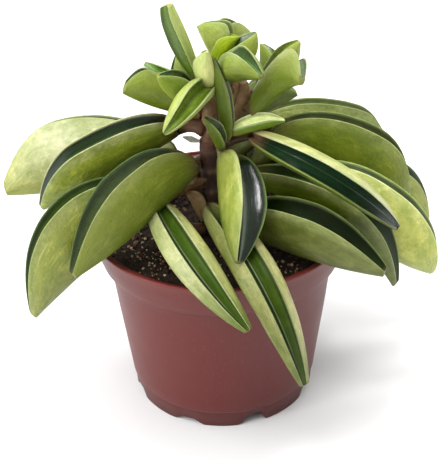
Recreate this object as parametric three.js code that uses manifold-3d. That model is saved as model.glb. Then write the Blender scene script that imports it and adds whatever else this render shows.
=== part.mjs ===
import * as THREE from 'three';
import ManifoldModule from 'manifold-3d';

// Potted peperomia: a terracotta-coloured nursery pot, its soil, a short
// forked stem and about forty folded, boat-shaped leaves. Millimetres, +Z up,
// pot axis on the world Z axis, feet standing on z = 0, front of plant at -Y.

// ---- driving dimensions ---------------------------------------------------
const POT_HEIGHT = 90;        // feet to rim
const POT_RIM_R = 60;         // outer radius at the lip (12 cm pot)
const POT_BASE_R = 42.6;      // outer radius at the feet
const COLLAR_Z = 72.9;        // underside of the collar
const COLLAR_R = 55.1;        // collar radius at its lower edge
const WALL_TOP_R = 51.95;     // wall radius just under the collar
const WALL = 1.4;             // wall thickness
const FOOT_COUNT = 8;         // feet round the base skirt
const DRAIN_R = 4;            // drainage hole radius
const SOIL_TOP = 85;          // soil surface near the wall
const SOIL_MOUND = 1.4;       // rise of the soil towards the stem
const STEM_R = 4.35;          // main stem radius
const CLEAR = 0.3;            // gap kept between neighbouring pieces
const ROUND = 44;             // facets round the pot

const wasm = await ManifoldModule();
wasm.setup();
const { Manifold } = wasm;

// ---- helpers --------------------------------------------------------------
const v3 = (a) => new THREE.Vector3(a[0], a[1], a[2]);
const clamp = (x, a, b) => Math.min(b, Math.max(a, x));

// A closed skin over a list of rings, with a point at each end.
function skin(rings, startPoint, endPoint) {
  const n = rings[0].length;
  const pts = [];
  for (const ring of rings) for (const p of ring) pts.push(p.x, p.y, p.z);
  const a = pts.length / 3;
  pts.push(startPoint.x, startPoint.y, startPoint.z, endPoint.x, endPoint.y, endPoint.z);
  const tri = [];
  for (let i = 0; i < rings.length - 1; i++) {
    for (let j = 0; j < n; j++) {
      const k = (j + 1) % n;
      tri.push(i * n + j, i * n + k, (i + 1) * n + k, i * n + j, (i + 1) * n + k, (i + 1) * n + j);
    }
  }
  const last = (rings.length - 1) * n;
  for (let j = 0; j < n; j++) {
    const k = (j + 1) % n;
    tri.push(a, k, j, a + 1, last + j, last + k);
  }
  const g = new THREE.BufferGeometry();
  g.setAttribute('position', new THREE.Float32BufferAttribute(pts, 3));
  g.setIndex(tri);
  return g;
}

// Welds a geometry and hands it to the solid kernel, faces out.
function solid(geometry) {
  const pos = geometry.getAttribute('position');
  const index = geometry.index ? Array.from(geometry.index.array) : [...Array(pos.count).keys()];
  const seen = new Map();
  const map = [];
  const out = [];
  for (let i = 0; i < pos.count; i++) {
    const key = [pos.getX(i), pos.getY(i), pos.getZ(i)].map((c) => Math.round(c * 1e4)).join(',');
    if (!seen.has(key)) {
      seen.set(key, out.length / 3);
      out.push(pos.getX(i), pos.getY(i), pos.getZ(i));
    }
    map.push(seen.get(key));
  }
  const tri = [];
  for (let i = 0; i < index.length; i += 3) {
    const [a, b, c] = [map[index[i]], map[index[i + 1]], map[index[i + 2]]];
    if (a !== b && b !== c && c !== a) tri.push(a, b, c);
  }
  let vol = 0;
  const P = (i) => new THREE.Vector3(out[3 * i], out[3 * i + 1], out[3 * i + 2]);
  for (let i = 0; i < tri.length; i += 3) vol += P(tri[i]).dot(P(tri[i + 1]).cross(P(tri[i + 2])));
  if (vol < 0) for (let i = 0; i < tri.length; i += 3) [tri[i + 1], tri[i + 2]] = [tri[i + 2], tri[i + 1]];
  return new Manifold(new wasm.Mesh({ numProp: 3, vertProperties: new Float32Array(out), triVerts: new Uint32Array(tri) }));
}

// Keeps the largest body when a cut leaves slivers behind.
function largest(m) {
  const parts = m.decompose();
  let best = m;
  let size = -1;
  for (const p of parts) {
    const v = p.volume();
    if (v > size) { size = v; best = p; }
  }
  return best;
}

function toMesh(name, m, colour, roughness) {
  const data = m.getMesh();
  const g = new THREE.BufferGeometry();
  const n = data.numProp;
  const pos = new Float32Array(data.vertProperties.length / n * 3);
  for (let i = 0; i < pos.length / 3; i++) for (let k = 0; k < 3; k++) pos[3 * i + k] = data.vertProperties[n * i + k];
  g.setAttribute('position', new THREE.BufferAttribute(pos, 3));
  g.setIndex(new THREE.BufferAttribute(new Uint32Array(data.triVerts), 1));
  g.computeVertexNormals();
  const mesh = new THREE.Mesh(g, new THREE.MeshStandardMaterial({ color: colour, roughness, metalness: 0, side: THREE.FrontSide }));
  mesh.name = name;
  return mesh;
}

// A round rod along a path of points, with a radius at each point.
function rod(points, radii, sides) {
  const rings = [];
  let ref = new THREE.Vector3(0, 1, 0);
  const P = points.map(v3);
  for (let i = 0; i < P.length; i++) {
    const t = P[Math.min(i + 1, P.length - 1)].clone().sub(P[Math.max(i - 1, 0)]).normalize();
    const u = ref.clone().addScaledVector(t, -ref.dot(t)).normalize();
    const w = new THREE.Vector3().crossVectors(t, u);
    ref = u;
    const ring = [];
    for (let j = 0; j < sides; j++) {
      const a = (2 * Math.PI * j) / sides;
      ring.push(P[i].clone().addScaledVector(u, radii[i] * Math.cos(a)).addScaledVector(w, radii[i] * Math.sin(a)));
    }
    rings.push(ring);
  }
  return solid(skin(rings, P[0], P[P.length - 1]));
}

// A profile of [radius, height] points turned round the Z axis.
function turned(profile) {
  const g = new THREE.LatheGeometry(profile.map(([r, z]) => new THREE.Vector2(r, z)), ROUND);
  g.rotateX(Math.PI / 2);
  return solid(g);
}

// ---- pot ------------------------------------------------------------------
function potProfile() {
  return [
    [0, 5.0], [41.0, 5.0], [40.9, 0], [POT_BASE_R, 0], [43.3, 8.9], [43.95, 9.5],
    [WALL_TOP_R, COLLAR_Z], [COLLAR_R, COLLAR_Z], [57.4, 80.2], [59.0, 86.2], [POT_RIM_R, 89.3],
    [59.7, POT_HEIGHT], [58.5, POT_HEIGHT], [58.3, 88.8], [56.3, 88.8], [55.5, 85.5],
    [COLLAR_R - WALL, 74.4], [WALL_TOP_R - WALL, 72.2], [42.4, 6.5], [0, 6.5],
  ];
}

function makePot() {
  let pot = turned(potProfile());
  // Gaps between the feet: a shallow arch every 45 degrees, the front one wider.
  const gaps = [20.5, 65.5, 110.5, 155.5, 200.5, 245.5, 291, 336.5];
  const tall = [4.6, 4.0, 4.0, 4.2, 4.0, 4.0, 3.6, 2.8];
  const wide = [8.5, 13, 13, 13, 13, 13, 12, 12];
  gaps.forEach((az, i) => {
    const shape = new THREE.Shape();
    const w = wide[i] / 2;
    const h = tall[i];
    shape.moveTo(-w - 1.2, -1);
    shape.lineTo(w + 1.2, -1);
    shape.lineTo(w, h * 0.55);
    shape.lineTo(w * 0.8, h);
    shape.lineTo(-w * 0.8, h);
    shape.lineTo(-w, h * 0.55);
    shape.closePath();
    const g = new THREE.ExtrudeGeometry(shape, { depth: 9, bevelEnabled: false });
    g.rotateX(Math.PI / 2);                 // extrude along -Y, shape in XZ
    g.translate(0, -37, 0);                 // spans y = -37 .. -46
    g.rotateZ((az * Math.PI) / 180);
    pot = pot.subtract(solid(g));
  });
  for (let i = 0; i < 4; i++) {
    const g = new THREE.CylinderGeometry(DRAIN_R, DRAIN_R, 6, 16);
    g.rotateX(Math.PI / 2);
    g.translate(27 * Math.cos((Math.PI / 2) * i + 0.4), 27 * Math.sin((Math.PI / 2) * i + 0.4), 5.75);
    pot = pot.subtract(solid(g));
  }
  return pot;
}

// ---- soil -----------------------------------------------------------------
function makeSoil() {
  const p = [
    [0, 6.8], [42.1, 6.8], [WALL_TOP_R - WALL - CLEAR, 72.2], [COLLAR_R - WALL - CLEAR, 74.4], [55.0, SOIL_TOP - 0.3],
    [50, SOIL_TOP + 0.1], [22, SOIL_TOP + 0.8 * SOIL_MOUND], [0, SOIL_TOP + SOIL_MOUND],
  ];
  return turned(p);
}

// ---- stem -----------------------------------------------------------------
// Main stem from the root crown up to the fork, then two branches.
const MAIN = [[-3.4, -6.2, 44], [-3.4, -6.2, 62], [-3.4, -6.1, 84], [-3.4, -5, 98], [-3.5, -4.5, 106], [-4.0, -4, 115], [-4.0, -4, 124], [-3.8, -4, 131]];
const MAIN_R = [1.5, 4.2, 4.9, 4.5, 4.35, 4.25, 4.35, 4.5];
const LEFT = [[-3.9, -4, 126], [-3.4, -4, 136], [-3.3, -4, 147], [-3.8, -4, 158], [-3.6, -3.6, 163]];
const LEFT_R = [3.9, 3.9, 3.5, 2.8, 1.4];
const RIGHT = [[-3.2, -3.8, 126], [1.9, -3.1, 134], [8.0, -3.0, 144.5], [10.6, -3.0, 152], [11.0, -2.8, 158]];
const RIGHT_R = [3.7, 3.4, 3.5, 3.6, 2.2];
const MIDDLE = [[2.8, -3.2, 136], [5.3, -3.8, 148], [6.6, -3.9, 155.5], [6.1, -3.9, 161]];
const MIDDLE_R = [2.7, 2.9, 3.0, 1.6];
const ROOTS = [
  [[-3.4, -6.2, 66], [-14, -12, 58], [-22, -17, 44], [-24, -20, 30]],
  [[-3.4, -6.2, 64], [8, -13, 55], [16, -20, 42], [18, -24, 30]],
  [[-3.4, -6.2, 65], [-6, 8, 57], [-10, 20, 44], [-11, 24, 30]],
];

function makeStem(extra) {
  const grow = (list) => list.map((r) => r + extra);
  let m = rod(MAIN, grow(MAIN_R), 10)
    .add(rod(LEFT, grow(LEFT_R), 8))
    .add(rod(RIGHT, grow(RIGHT_R), 8))
    .add(rod(MIDDLE, grow(MIDDLE_R), 8));
  for (const path of ROOTS) m = m.add(rod(path, grow([1.9, 1.4, 1.0, 0.5]), 5));
  return m;
}

// ---- leaves ---------------------------------------------------------------
// Each leaf is a folded half-moon: a nearly straight keel, a strongly curved
// double margin above it, and a V groove between the two margins. base and tip
// are the ends of the keel, node is where the petiole leaves the stem.
const LEAVES = [
  { name: 'leaf_left_middle', base: [-10.82, -13.55, 120.72], tip: [-61.82, -52.75, 92.99], node: [-9.0, -6.0, 120.5], leave: [-1.0, -0.3, 0.1], petiole: 1.9, roll: -0.142, depth: 25.76, keelBow: 0.043, sideBow: -0.001, peak: 0.423, opening: 5.23, bulge: 7.0, twist: -0.076, arch: -0.009, ease: [0.35, 0.4], blunt: 0.04 },
  { name: 'leaf_right_long', base: [16.19, -11.54, 135.69], tip: [76.96, -27.79, 98.68], node: [3.0, -6.5, 133.5], leave: [1.0, -0.1, 0.3], petiole: 1.8, roll: -1.132, depth: 18.68, keelBow: 0.036, sideBow: 0.083, peak: 0.54, opening: 3.86, bulge: 6.38, twist: -0.043, arch: 0.213, ease: [0.35, 0.4], blunt: 0.045 },
  { name: 'leaf_front_centre', base: [1.4, -17.0, 128.12], tip: [6.49, -60.1, 103.29], node: [0.5, -8.5, 136.0], leave: [0.1, -1.0, 0.3], petiole: 1.8, roll: 0.765, depth: 17.81, keelBow: 0.022, sideBow: 0.009, peak: 0.442, opening: 7.2, bulge: 7.98, twist: 0.189, arch: -0.059, ease: [0.35, 0.4], blunt: 0.03 },
  { name: 'leaf_front_hanging', base: [-3.94, -18.62, 101.97], tip: [34.22, -73.83, 48.9], node: [-3.6, -9.0, 99.6], leave: [0.0, -1.0, -0.1], petiole: 1.9, roll: -0.209, depth: 9.11, keelBow: 0.027, sideBow: -0.031, peak: 0.459, opening: 3.92, bulge: 9.16, twist: 0.084, arch: 0.258, ease: [0.3, 0.15], blunt: 0.03 },
  { name: 'leaf_front_left', base: [-27.35, -20.23, 105.39], tip: [10.89, -74.75, 79.45], node: [-6.6, -8.6, 87.4], leave: [-1.0, 0.05, 0.05], petiole: 1.9, roll: -0.22, depth: 10.15, keelBow: 0.009, sideBow: -0.063, peak: 0.416, opening: 3.63, bulge: 9.12, twist: 0.296, arch: 0.084, ease: [0.8, 0.05], blunt: 0.02 },
  { name: 'leaf_left_upper', base: [-19.22, 1.91, 132.49], tip: [-79.02, -7.81, 99.91], node: [-6.3, -4.0, 136.8], leave: [-1.0, 0.0, 0.45], petiole: 2.6, roll: 0.402, depth: 24.89, keelBow: 0.049, sideBow: 0.041, peak: 0.531, opening: 3.43, bulge: 7.0, twist: -0.059, arch: 0.052, ease: [0.35, 0.4], blunt: 0.03 },
  { name: 'leaf_right_front', base: [8.66, -22.25, 96.37], tip: [69.03, -51.29, 89.25], node: [-1.0, -6.5, 92.0], leave: [1.0, -0.2, 0.2], petiole: 1.8, roll: -0.007, depth: 22.92, keelBow: 0.027, sideBow: -0.054, peak: 0.456, opening: 6.15, bulge: 7.0, twist: 0.1, arch: 0.012, ease: [0.35, 0.4], blunt: 0.045 },
  { name: 'leaf_left_lower', base: [-24.22, -12.66, 105.56], tip: [-83.59, -32.81, 58.35], node: [-7.6, -5.0, 106.5], leave: [-1.0, 0.0, 0.1], petiole: 1.9, roll: 0.05, depth: 31.59, keelBow: 0.051, sideBow: 0.12, peak: 0.336, opening: 3.07, bulge: 7.0, twist: -0.102, arch: 0.155, ease: [0.35, 0.4], blunt: 0.04 },
  { name: 'leaf_right_inner', base: [13.77, 5.59, 104.07], tip: [78.62, -17.35, 60.09], node: [-0.2, -2.0, 106.0], leave: [1.0, 0.4, 0.15], petiole: 1.8, roll: -0.436, depth: 24.8, keelBow: 0.025, sideBow: -0.024, peak: 0.491, opening: 4.0, bulge: 7.0, twist: 0.079, arch: 0.256, ease: [0.35, 0.4], blunt: 0.045 },
  { name: 'leaf_right_outer', base: [35.64, -2.0, 105.87], tip: [98.63, 4.51, 51.32], node: [-0.5, -1.0, 99.0], leave: [1.0, 0.5, 0.1], petiole: 1.9, roll: 0.0, depth: 28.3, keelBow: 0.02, sideBow: -0.12, peak: 0.432, opening: 4.44, bulge: 7.0, twist: 0.5, arch: 0.0, ease: [0.35, 0.4], blunt: 0.04 },
  { name: 'leaf_right_upper', base: [25.24, 11.0, 121.52], tip: [87.3, 21.0, 81.98], node: [2.0, 0.0, 127.0], leave: [1.0, 0.4, 0.1], petiole: 1.8, roll: 0.017, depth: 24.42, keelBow: 0.03, sideBow: -0.055, peak: 0.517, opening: 4.54, bulge: 7.03, twist: 0.45, arch: 0.036, ease: [0.35, 0.4], blunt: 0.04 },
  { name: 'leaf_right_behind', base: [19.88, 33.0, 116.61], tip: [81.47, 54.0, 84.94], node: [1.0, 2.0, 123.0], leave: [1.0, 1.0, 0.1], petiole: 1.8, roll: -0.129, depth: 22.71, keelBow: 0.03, sideBow: -0.012, peak: 0.565, opening: 2.43, bulge: 7.11, twist: 0.069, arch: 0.022, ease: [0.35, 0.4], blunt: 0.03 },
  { name: 'leaf_right_far', base: [48.74, 32.55, 85.08], tip: [102.13, 40.03, 59.03], node: [-1.0, 0.5, 93.0], leave: [1.0, 0.9, 0.1], petiole: 1.8, roll: -0.105, depth: 20.09, keelBow: 0.025, sideBow: 0.001, peak: 0.498, opening: 3.91, bulge: 7.0, twist: 0.4, arch: 0.069, ease: [0.35, 0.4], blunt: 0.03 },
  { name: 'leaf_left_back', base: [-21.41, 14.99, 110.19], tip: [-100.1, 22.03, 89.4], node: [-8.5, 0.0, 113.0], leave: [-1.0, 0.2, 0.1], petiole: 1.8, roll: -0.337, depth: 24.49, keelBow: 0.106, sideBow: 0.024, peak: 0.577, opening: 3.56, bulge: 7.01, twist: 0.051, arch: 0.063, ease: [0.35, 0.4], blunt: 0.05 },
  { name: 'leaf_middle_left', base: [-3.55, -12.06, 161.0], tip: [-22.33, -33.85, 150.65], node: [-6.0, -6.5, 152.0], leave: [0.1, -1.0, 0.6], petiole: 1.2, roll: 0.808, depth: 11.73, keelBow: 0.034, sideBow: -0.068, peak: 0.481, opening: 3.62, bulge: 5.89, twist: -0.254, arch: -0.007, ease: [0.35, 0.4], blunt: 0.015 },
  { name: 'leaf_crown_front_right', base: [3.88, -13.14, 163.43], tip: [18.62, -28.7, 172.24], node: [5.5, -7.0, 156.0], leave: [0.0, -1.0, 0.5], petiole: 1.2, roll: -0.062, depth: 13.08, keelBow: 0.033, sideBow: 0.04, peak: 0.494, opening: 3.49, bulge: 6.92, twist: 0.137, arch: 0.02, ease: [0.35, 0.4], blunt: 0.03 },
  { name: 'leaf_side_large', base: [14.99, -10.71, 147.2], tip: [33.6, -26.73, 168.08], node: [12.5, -5.0, 147.0], leave: [0.7, -0.6, 0.1], petiole: 1.4, roll: 1.022, depth: 19.46, keelBow: 0.014, sideBow: -0.015, peak: 0.579, opening: 3.5, bulge: 5.75, twist: -0.078, arch: 0.125, ease: [0.35, 0.4], blunt: 0.05 },
  { name: 'leaf_crown_pale', base: [-0.95, -13.98, 158.52], tip: [-3.4, -24.05, 182.3], node: [-3.5, -7.0, 156.0], leave: [0.3, -1.0, 0.3], petiole: 1.0, roll: -1.082, depth: 8.4, keelBow: 0.031, sideBow: -0.016, peak: 0.56, opening: 2.3, bulge: 3.5, twist: 0.039, arch: -0.052, ease: [0.35, 0.4], blunt: 0.03 },
  { name: 'leaf_middle_upright', base: [2.49, -13.5, 137.88], tip: [-1.51, -21.0, 178.57], node: [3.0, -7.0, 131.5], leave: [0.2, -1.0, 0.6], petiole: 1.3, roll: 1.361, depth: 5.6, keelBow: 0.03, sideBow: 0.0, peak: 0.45, opening: 1.7, bulge: 2.9, twist: 0.0, arch: 0.0, ease: [0.35, 0.4], blunt: 0.03 },
  { name: 'leaf_middle_right', base: [6.78, -14.0, 139.49], tip: [28.75, -12.0, 143.59], node: [4.0, -9.0, 135.0], leave: [0.3, -1.0, 0.4], petiole: 1.1, roll: -0.209, depth: 5.6, keelBow: 0.037, sideBow: 0.0, peak: 0.506, opening: 2.6, bulge: 3.4, twist: 0.071, arch: 0.0, ease: [0.35, 0.4], blunt: 0.02 },
  { name: 'leaf_middle_small', base: [0.04, -17.0, 135.03], tip: [-5.69, -22.0, 151.79], node: [0.0, -8.5, 131.0], leave: [0.1, -1.0, 0.3], petiole: 1.1, roll: 0.96, depth: 5.4, keelBow: 0.034, sideBow: 0.023, peak: 0.495, opening: 2.4, bulge: 3.2, twist: -0.058, arch: -0.014, ease: [0.35, 0.4], blunt: 0.015 },
  { name: 'leaf_crown_tall', base: [-7.22, -7.0, 163.31], tip: [-18.02, -4.0, 195.41], node: [-6.0, -5.5, 158.0], leave: [-0.2, -1.0, 1.0], petiole: 1.2, roll: 2.147, depth: 5.6, keelBow: 0.02, sideBow: 0.0, peak: 0.66, opening: 3.9, bulge: 4.9, twist: 0.1, arch: 0.003, ease: [0.35, 0.4], blunt: 0.16 },
  { name: 'leaf_crown_left_outer', base: [-8.34, -0.56, 140.7], tip: [-40.11, -8.4, 156.87], node: [-7.5, -3.0, 143.0], leave: [-1.0, 0.0, 0.2], petiole: 1.4, roll: -0.244, depth: 13.56, keelBow: 0.024, sideBow: -0.03, peak: 0.75, opening: 4.0, bulge: 6.0, twist: 0.033, arch: -0.025, ease: [0.35, 0.4], blunt: 0.05 },
  { name: 'leaf_crown_left_inner', base: [-10.66, -9.94, 149.07], tip: [-24.21, -24.13, 171.72], node: [-8.0, -5.0, 147.0], leave: [-0.6, -1.0, 0.3], petiole: 1.2, roll: 0.559, depth: 10.5, keelBow: 0.031, sideBow: -0.059, peak: 0.501, opening: 2.81, bulge: 4.98, twist: 0.131, arch: -0.073, ease: [0.35, 0.4], blunt: 0.03 },
  { name: 'leaf_crown_back_left', base: [-5.87, 17.07, 142.59], tip: [-16.46, 16.85, 163.38], node: [-5.5, 0.0, 150.0], leave: [-0.3, 1.0, 0.5], petiole: 1.0, roll: 2.633, depth: 10.07, keelBow: 0.03, sideBow: -0.012, peak: 0.474, opening: 1.87, bulge: 5.12, twist: 0.01, arch: 0.003, ease: [0.35, 0.4], blunt: 0.03 },
  { name: 'leaf_crown_left_back', base: [-9.36, 9.94, 145.17], tip: [-31.12, 8.14, 162.59], node: [-7.5, -3.0, 150.0], leave: [-1.0, 0.6, 0.3], petiole: 1.0, roll: 1.127, depth: 9.86, keelBow: 0.03, sideBow: 0.014, peak: 0.492, opening: 3.02, bulge: 4.07, twist: -0.007, arch: 0.021, ease: [0.35, 0.4], blunt: 0.03 },
  { name: 'leaf_crown_top_right', base: [3.8, -2.7, 164.23], tip: [17.19, -4.77, 181.07], node: [5.6, -5.4, 158.5], leave: [0.2, -0.6, 1.0], petiole: 0.9, roll: -0.043, depth: 8.54, keelBow: 0.122, sideBow: -0.001, peak: 0.395, opening: 3.55, bulge: 4.65, twist: 0.313, arch: -0.16, ease: [0.35, 0.4], blunt: 0.03 },
  { name: 'leaf_crown_bud', base: [0.57, -2.95, 165.46], tip: [9.91, -1.2, 177.82], node: [4.7, -3.8, 161.5], leave: [-0.1, 0.0, 1.0], petiole: 0.9, roll: 0.275, depth: 6.98, keelBow: 0.03, sideBow: 0.005, peak: 0.57, opening: 3.33, bulge: 4.53, twist: -0.014, arch: 0.011, ease: [0.35, 0.4], blunt: 0.05 },
  { name: 'leaf_crown_top', base: [-0.96, 3.0, 166.22], tip: [-8.0, 7.0, 179.82], node: [-4.5, -3.5, 160.5], leave: [0.1, 0.3, 1.0], petiole: 1.2, roll: -0.244, depth: 13.5, keelBow: 0.03, sideBow: 0.0, peak: 0.62, opening: 2.6, bulge: 4.6, twist: 0.05, arch: 0.0, ease: [0.35, 0.4], blunt: 0.05 },
  { name: 'leaf_crown_top_back', base: [2.34, 7.6, 162.61], tip: [15.5, 19.03, 169.6], node: [4.6, -1.8, 158.0], leave: [-0.2, 0.8, 1.0], petiole: 1.0, roll: 0.0, depth: 15.01, keelBow: 0.03, sideBow: -0.003, peak: 0.45, opening: 3.4, bulge: 4.4, twist: -0.01, arch: 0.033, ease: [0.35, 0.4], blunt: 0.03 },
  { name: 'leaf_side_top', base: [20.18, 10.09, 147.1], tip: [36.18, 8.79, 170.49], node: [14.0, -2.5, 149.0], leave: [0.6, 0.2, 0.6], petiole: 1.1, roll: -0.282, depth: 10.27, keelBow: 0.039, sideBow: 0.004, peak: 0.566, opening: 2.87, bulge: 5.07, twist: -0.028, arch: -0.16, ease: [0.35, 0.4], blunt: 0.03 },
  { name: 'leaf_side_back', base: [20.31, 18.97, 142.1], tip: [19.73, 27.06, 161.82], node: [12.0, 0.0, 150.0], leave: [0.5, 1.0, 0.5], petiole: 1.0, roll: -0.761, depth: 10.22, keelBow: 0.035, sideBow: -0.001, peak: 0.541, opening: 3.0, bulge: 4.53, twist: 0.044, arch: 0.025, ease: [0.35, 0.4], blunt: 0.03 },
  { name: 'leaf_side_under', base: [12.83, 16.04, 130.62], tip: [36.03, 15.9, 141.38], node: [9.0, 0.5, 140.0], leave: [0.5, 0.8, 0.1], petiole: 1.2, roll: 0.225, depth: 15.01, keelBow: 0.039, sideBow: 0.005, peak: 0.54, opening: 3.24, bulge: 5.13, twist: -0.028, arch: -0.005, ease: [0.35, 0.4], blunt: 0.03 },
  { name: 'leaf_back_left', base: [-28.82, 30.0, 95.42], tip: [-67.79, 58.0, 70.79], node: [-7.0, 1.0, 110.0], leave: [-1.0, 1.0, 0.1], petiole: 1.8, roll: 0.0, depth: 21.0, keelBow: 0.04, sideBow: 0.0, peak: 0.52, opening: 4.2, bulge: 6.8, twist: 0.1, arch: 0.03, ease: [0.35, 0.4], blunt: 0.03 },
  { name: 'leaf_back_left_inner', base: [-16.47, 24.0, 95.33], tip: [-45.48, 66.0, 64.13], node: [-6.0, 2.0, 116.0], leave: [-0.7, 1.0, 0.1], petiole: 1.8, roll: 0.0, depth: 17.0, keelBow: 0.04, sideBow: 0.0, peak: 0.52, opening: 4.2, bulge: 6.8, twist: 0.1, arch: 0.03, ease: [0.35, 0.4], blunt: 0.03 },
  { name: 'leaf_back_upper_left', base: [-5.77, 18.0, 127.96], tip: [-13.39, 62.0, 110.05], node: [-4.0, 2.5, 129.0], leave: [-0.2, 1.0, 0.2], petiole: 1.8, roll: 0.0, depth: 19.0, keelBow: 0.04, sideBow: 0.0, peak: 0.52, opening: 4.2, bulge: 6.8, twist: 0.1, arch: 0.03, ease: [0.35, 0.4], blunt: 0.03 },
  { name: 'leaf_back_upper_right', base: [2.42, 16.0, 109.12], tip: [24.6, 62.0, 90.03], node: [-1.0, 2.0, 124.0], leave: [0.3, 1.0, 0.1], petiole: 1.8, roll: 0.0, depth: 21.0, keelBow: 0.04, sideBow: 0.0, peak: 0.52, opening: 4.2, bulge: 6.8, twist: 0.1, arch: 0.03, ease: [0.35, 0.4], blunt: 0.03 },
  { name: 'leaf_back_right', base: [14.64, 28.0, 99.16], tip: [40.55, 76.0, 73.53], node: [-1.0, 1.5, 117.0], leave: [0.6, 1.0, 0.1], petiole: 1.8, roll: 0.0, depth: 19.0, keelBow: 0.04, sideBow: 0.0, peak: 0.52, opening: 4.2, bulge: 6.8, twist: 0.1, arch: 0.03, ease: [0.35, 0.4], blunt: 0.03 },
  { name: 'leaf_back_right_low', base: [26.89, 28.0, 85.08], tip: [59.86, 58.0, 57.66], node: [-1.0, 1.0, 108.0], leave: [0.8, 1.0, 0.1], petiole: 1.8, roll: 0.0, depth: 20.0, keelBow: 0.04, sideBow: 0.0, peak: 0.52, opening: 4.2, bulge: 6.8, twist: 0.1, arch: 0.03, ease: [0.35, 0.4], blunt: 0.03 },
  { name: 'leaf_back_left_low', base: [-24.99, 20.0, 91.42], tip: [-61.29, 48.0, 54.4], node: [-6.5, 1.0, 104.0], leave: [-0.8, 1.0, 0.1], petiole: 1.8, roll: 0.0, depth: 21.0, keelBow: 0.04, sideBow: 0.0, peak: 0.52, opening: 4.2, bulge: 6.8, twist: 0.1, arch: 0.03, ease: [0.35, 0.4], blunt: 0.03 },
  { name: 'withered_leaf', base: [-14.4, -9.0, 107.14], tip: [-8.39, -10.5, 92.68], node: [-7.2, -6.5, 109.5], leave: [-1.0, -0.6, 0.0], petiole: 0.9, roll: 0.4, depth: 6.0, keelBow: 0.02, sideBow: 0.0, peak: 0.4, opening: 0.5, bulge: 1.0, twist: 0.2, arch: 0.0, ease: [0.35, 0.4], blunt: 0.0 },];

const STATIONS = [0, 0.02, 0.08, 0.2, 0.38, 0.58, 0.78, 0.93, 1];
const PETIOLE_STEPS = 3;
const RING_ANGLES = [-90, -35, 10, 55, 90, 125, 170, 215].map((a) => (a * Math.PI) / 180);

function marginProfile(s, peak) {
  if (s < peak) {
    const a = clamp((peak - s) / peak, 0, 1);
    return Math.sqrt(clamp(1 - a ** 2.2, 0, 1));
  }
  const b = clamp((s - peak) / (1 - peak), 0, 1);
  return clamp(1 - b * b, 0, 1);
}
const widthProfile = (s) => Math.sin(Math.PI * clamp(s, 0, 1) ** 0.78) ** 0.62 || 0;

function bezier(a, b, c, d, t) {
  const u = 1 - t;
  return a.clone().multiplyScalar(u * u * u).addScaledVector(b, 3 * u * u * t).addScaledVector(c, 3 * u * t * t).addScaledVector(d, t * t * t);
}

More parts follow.
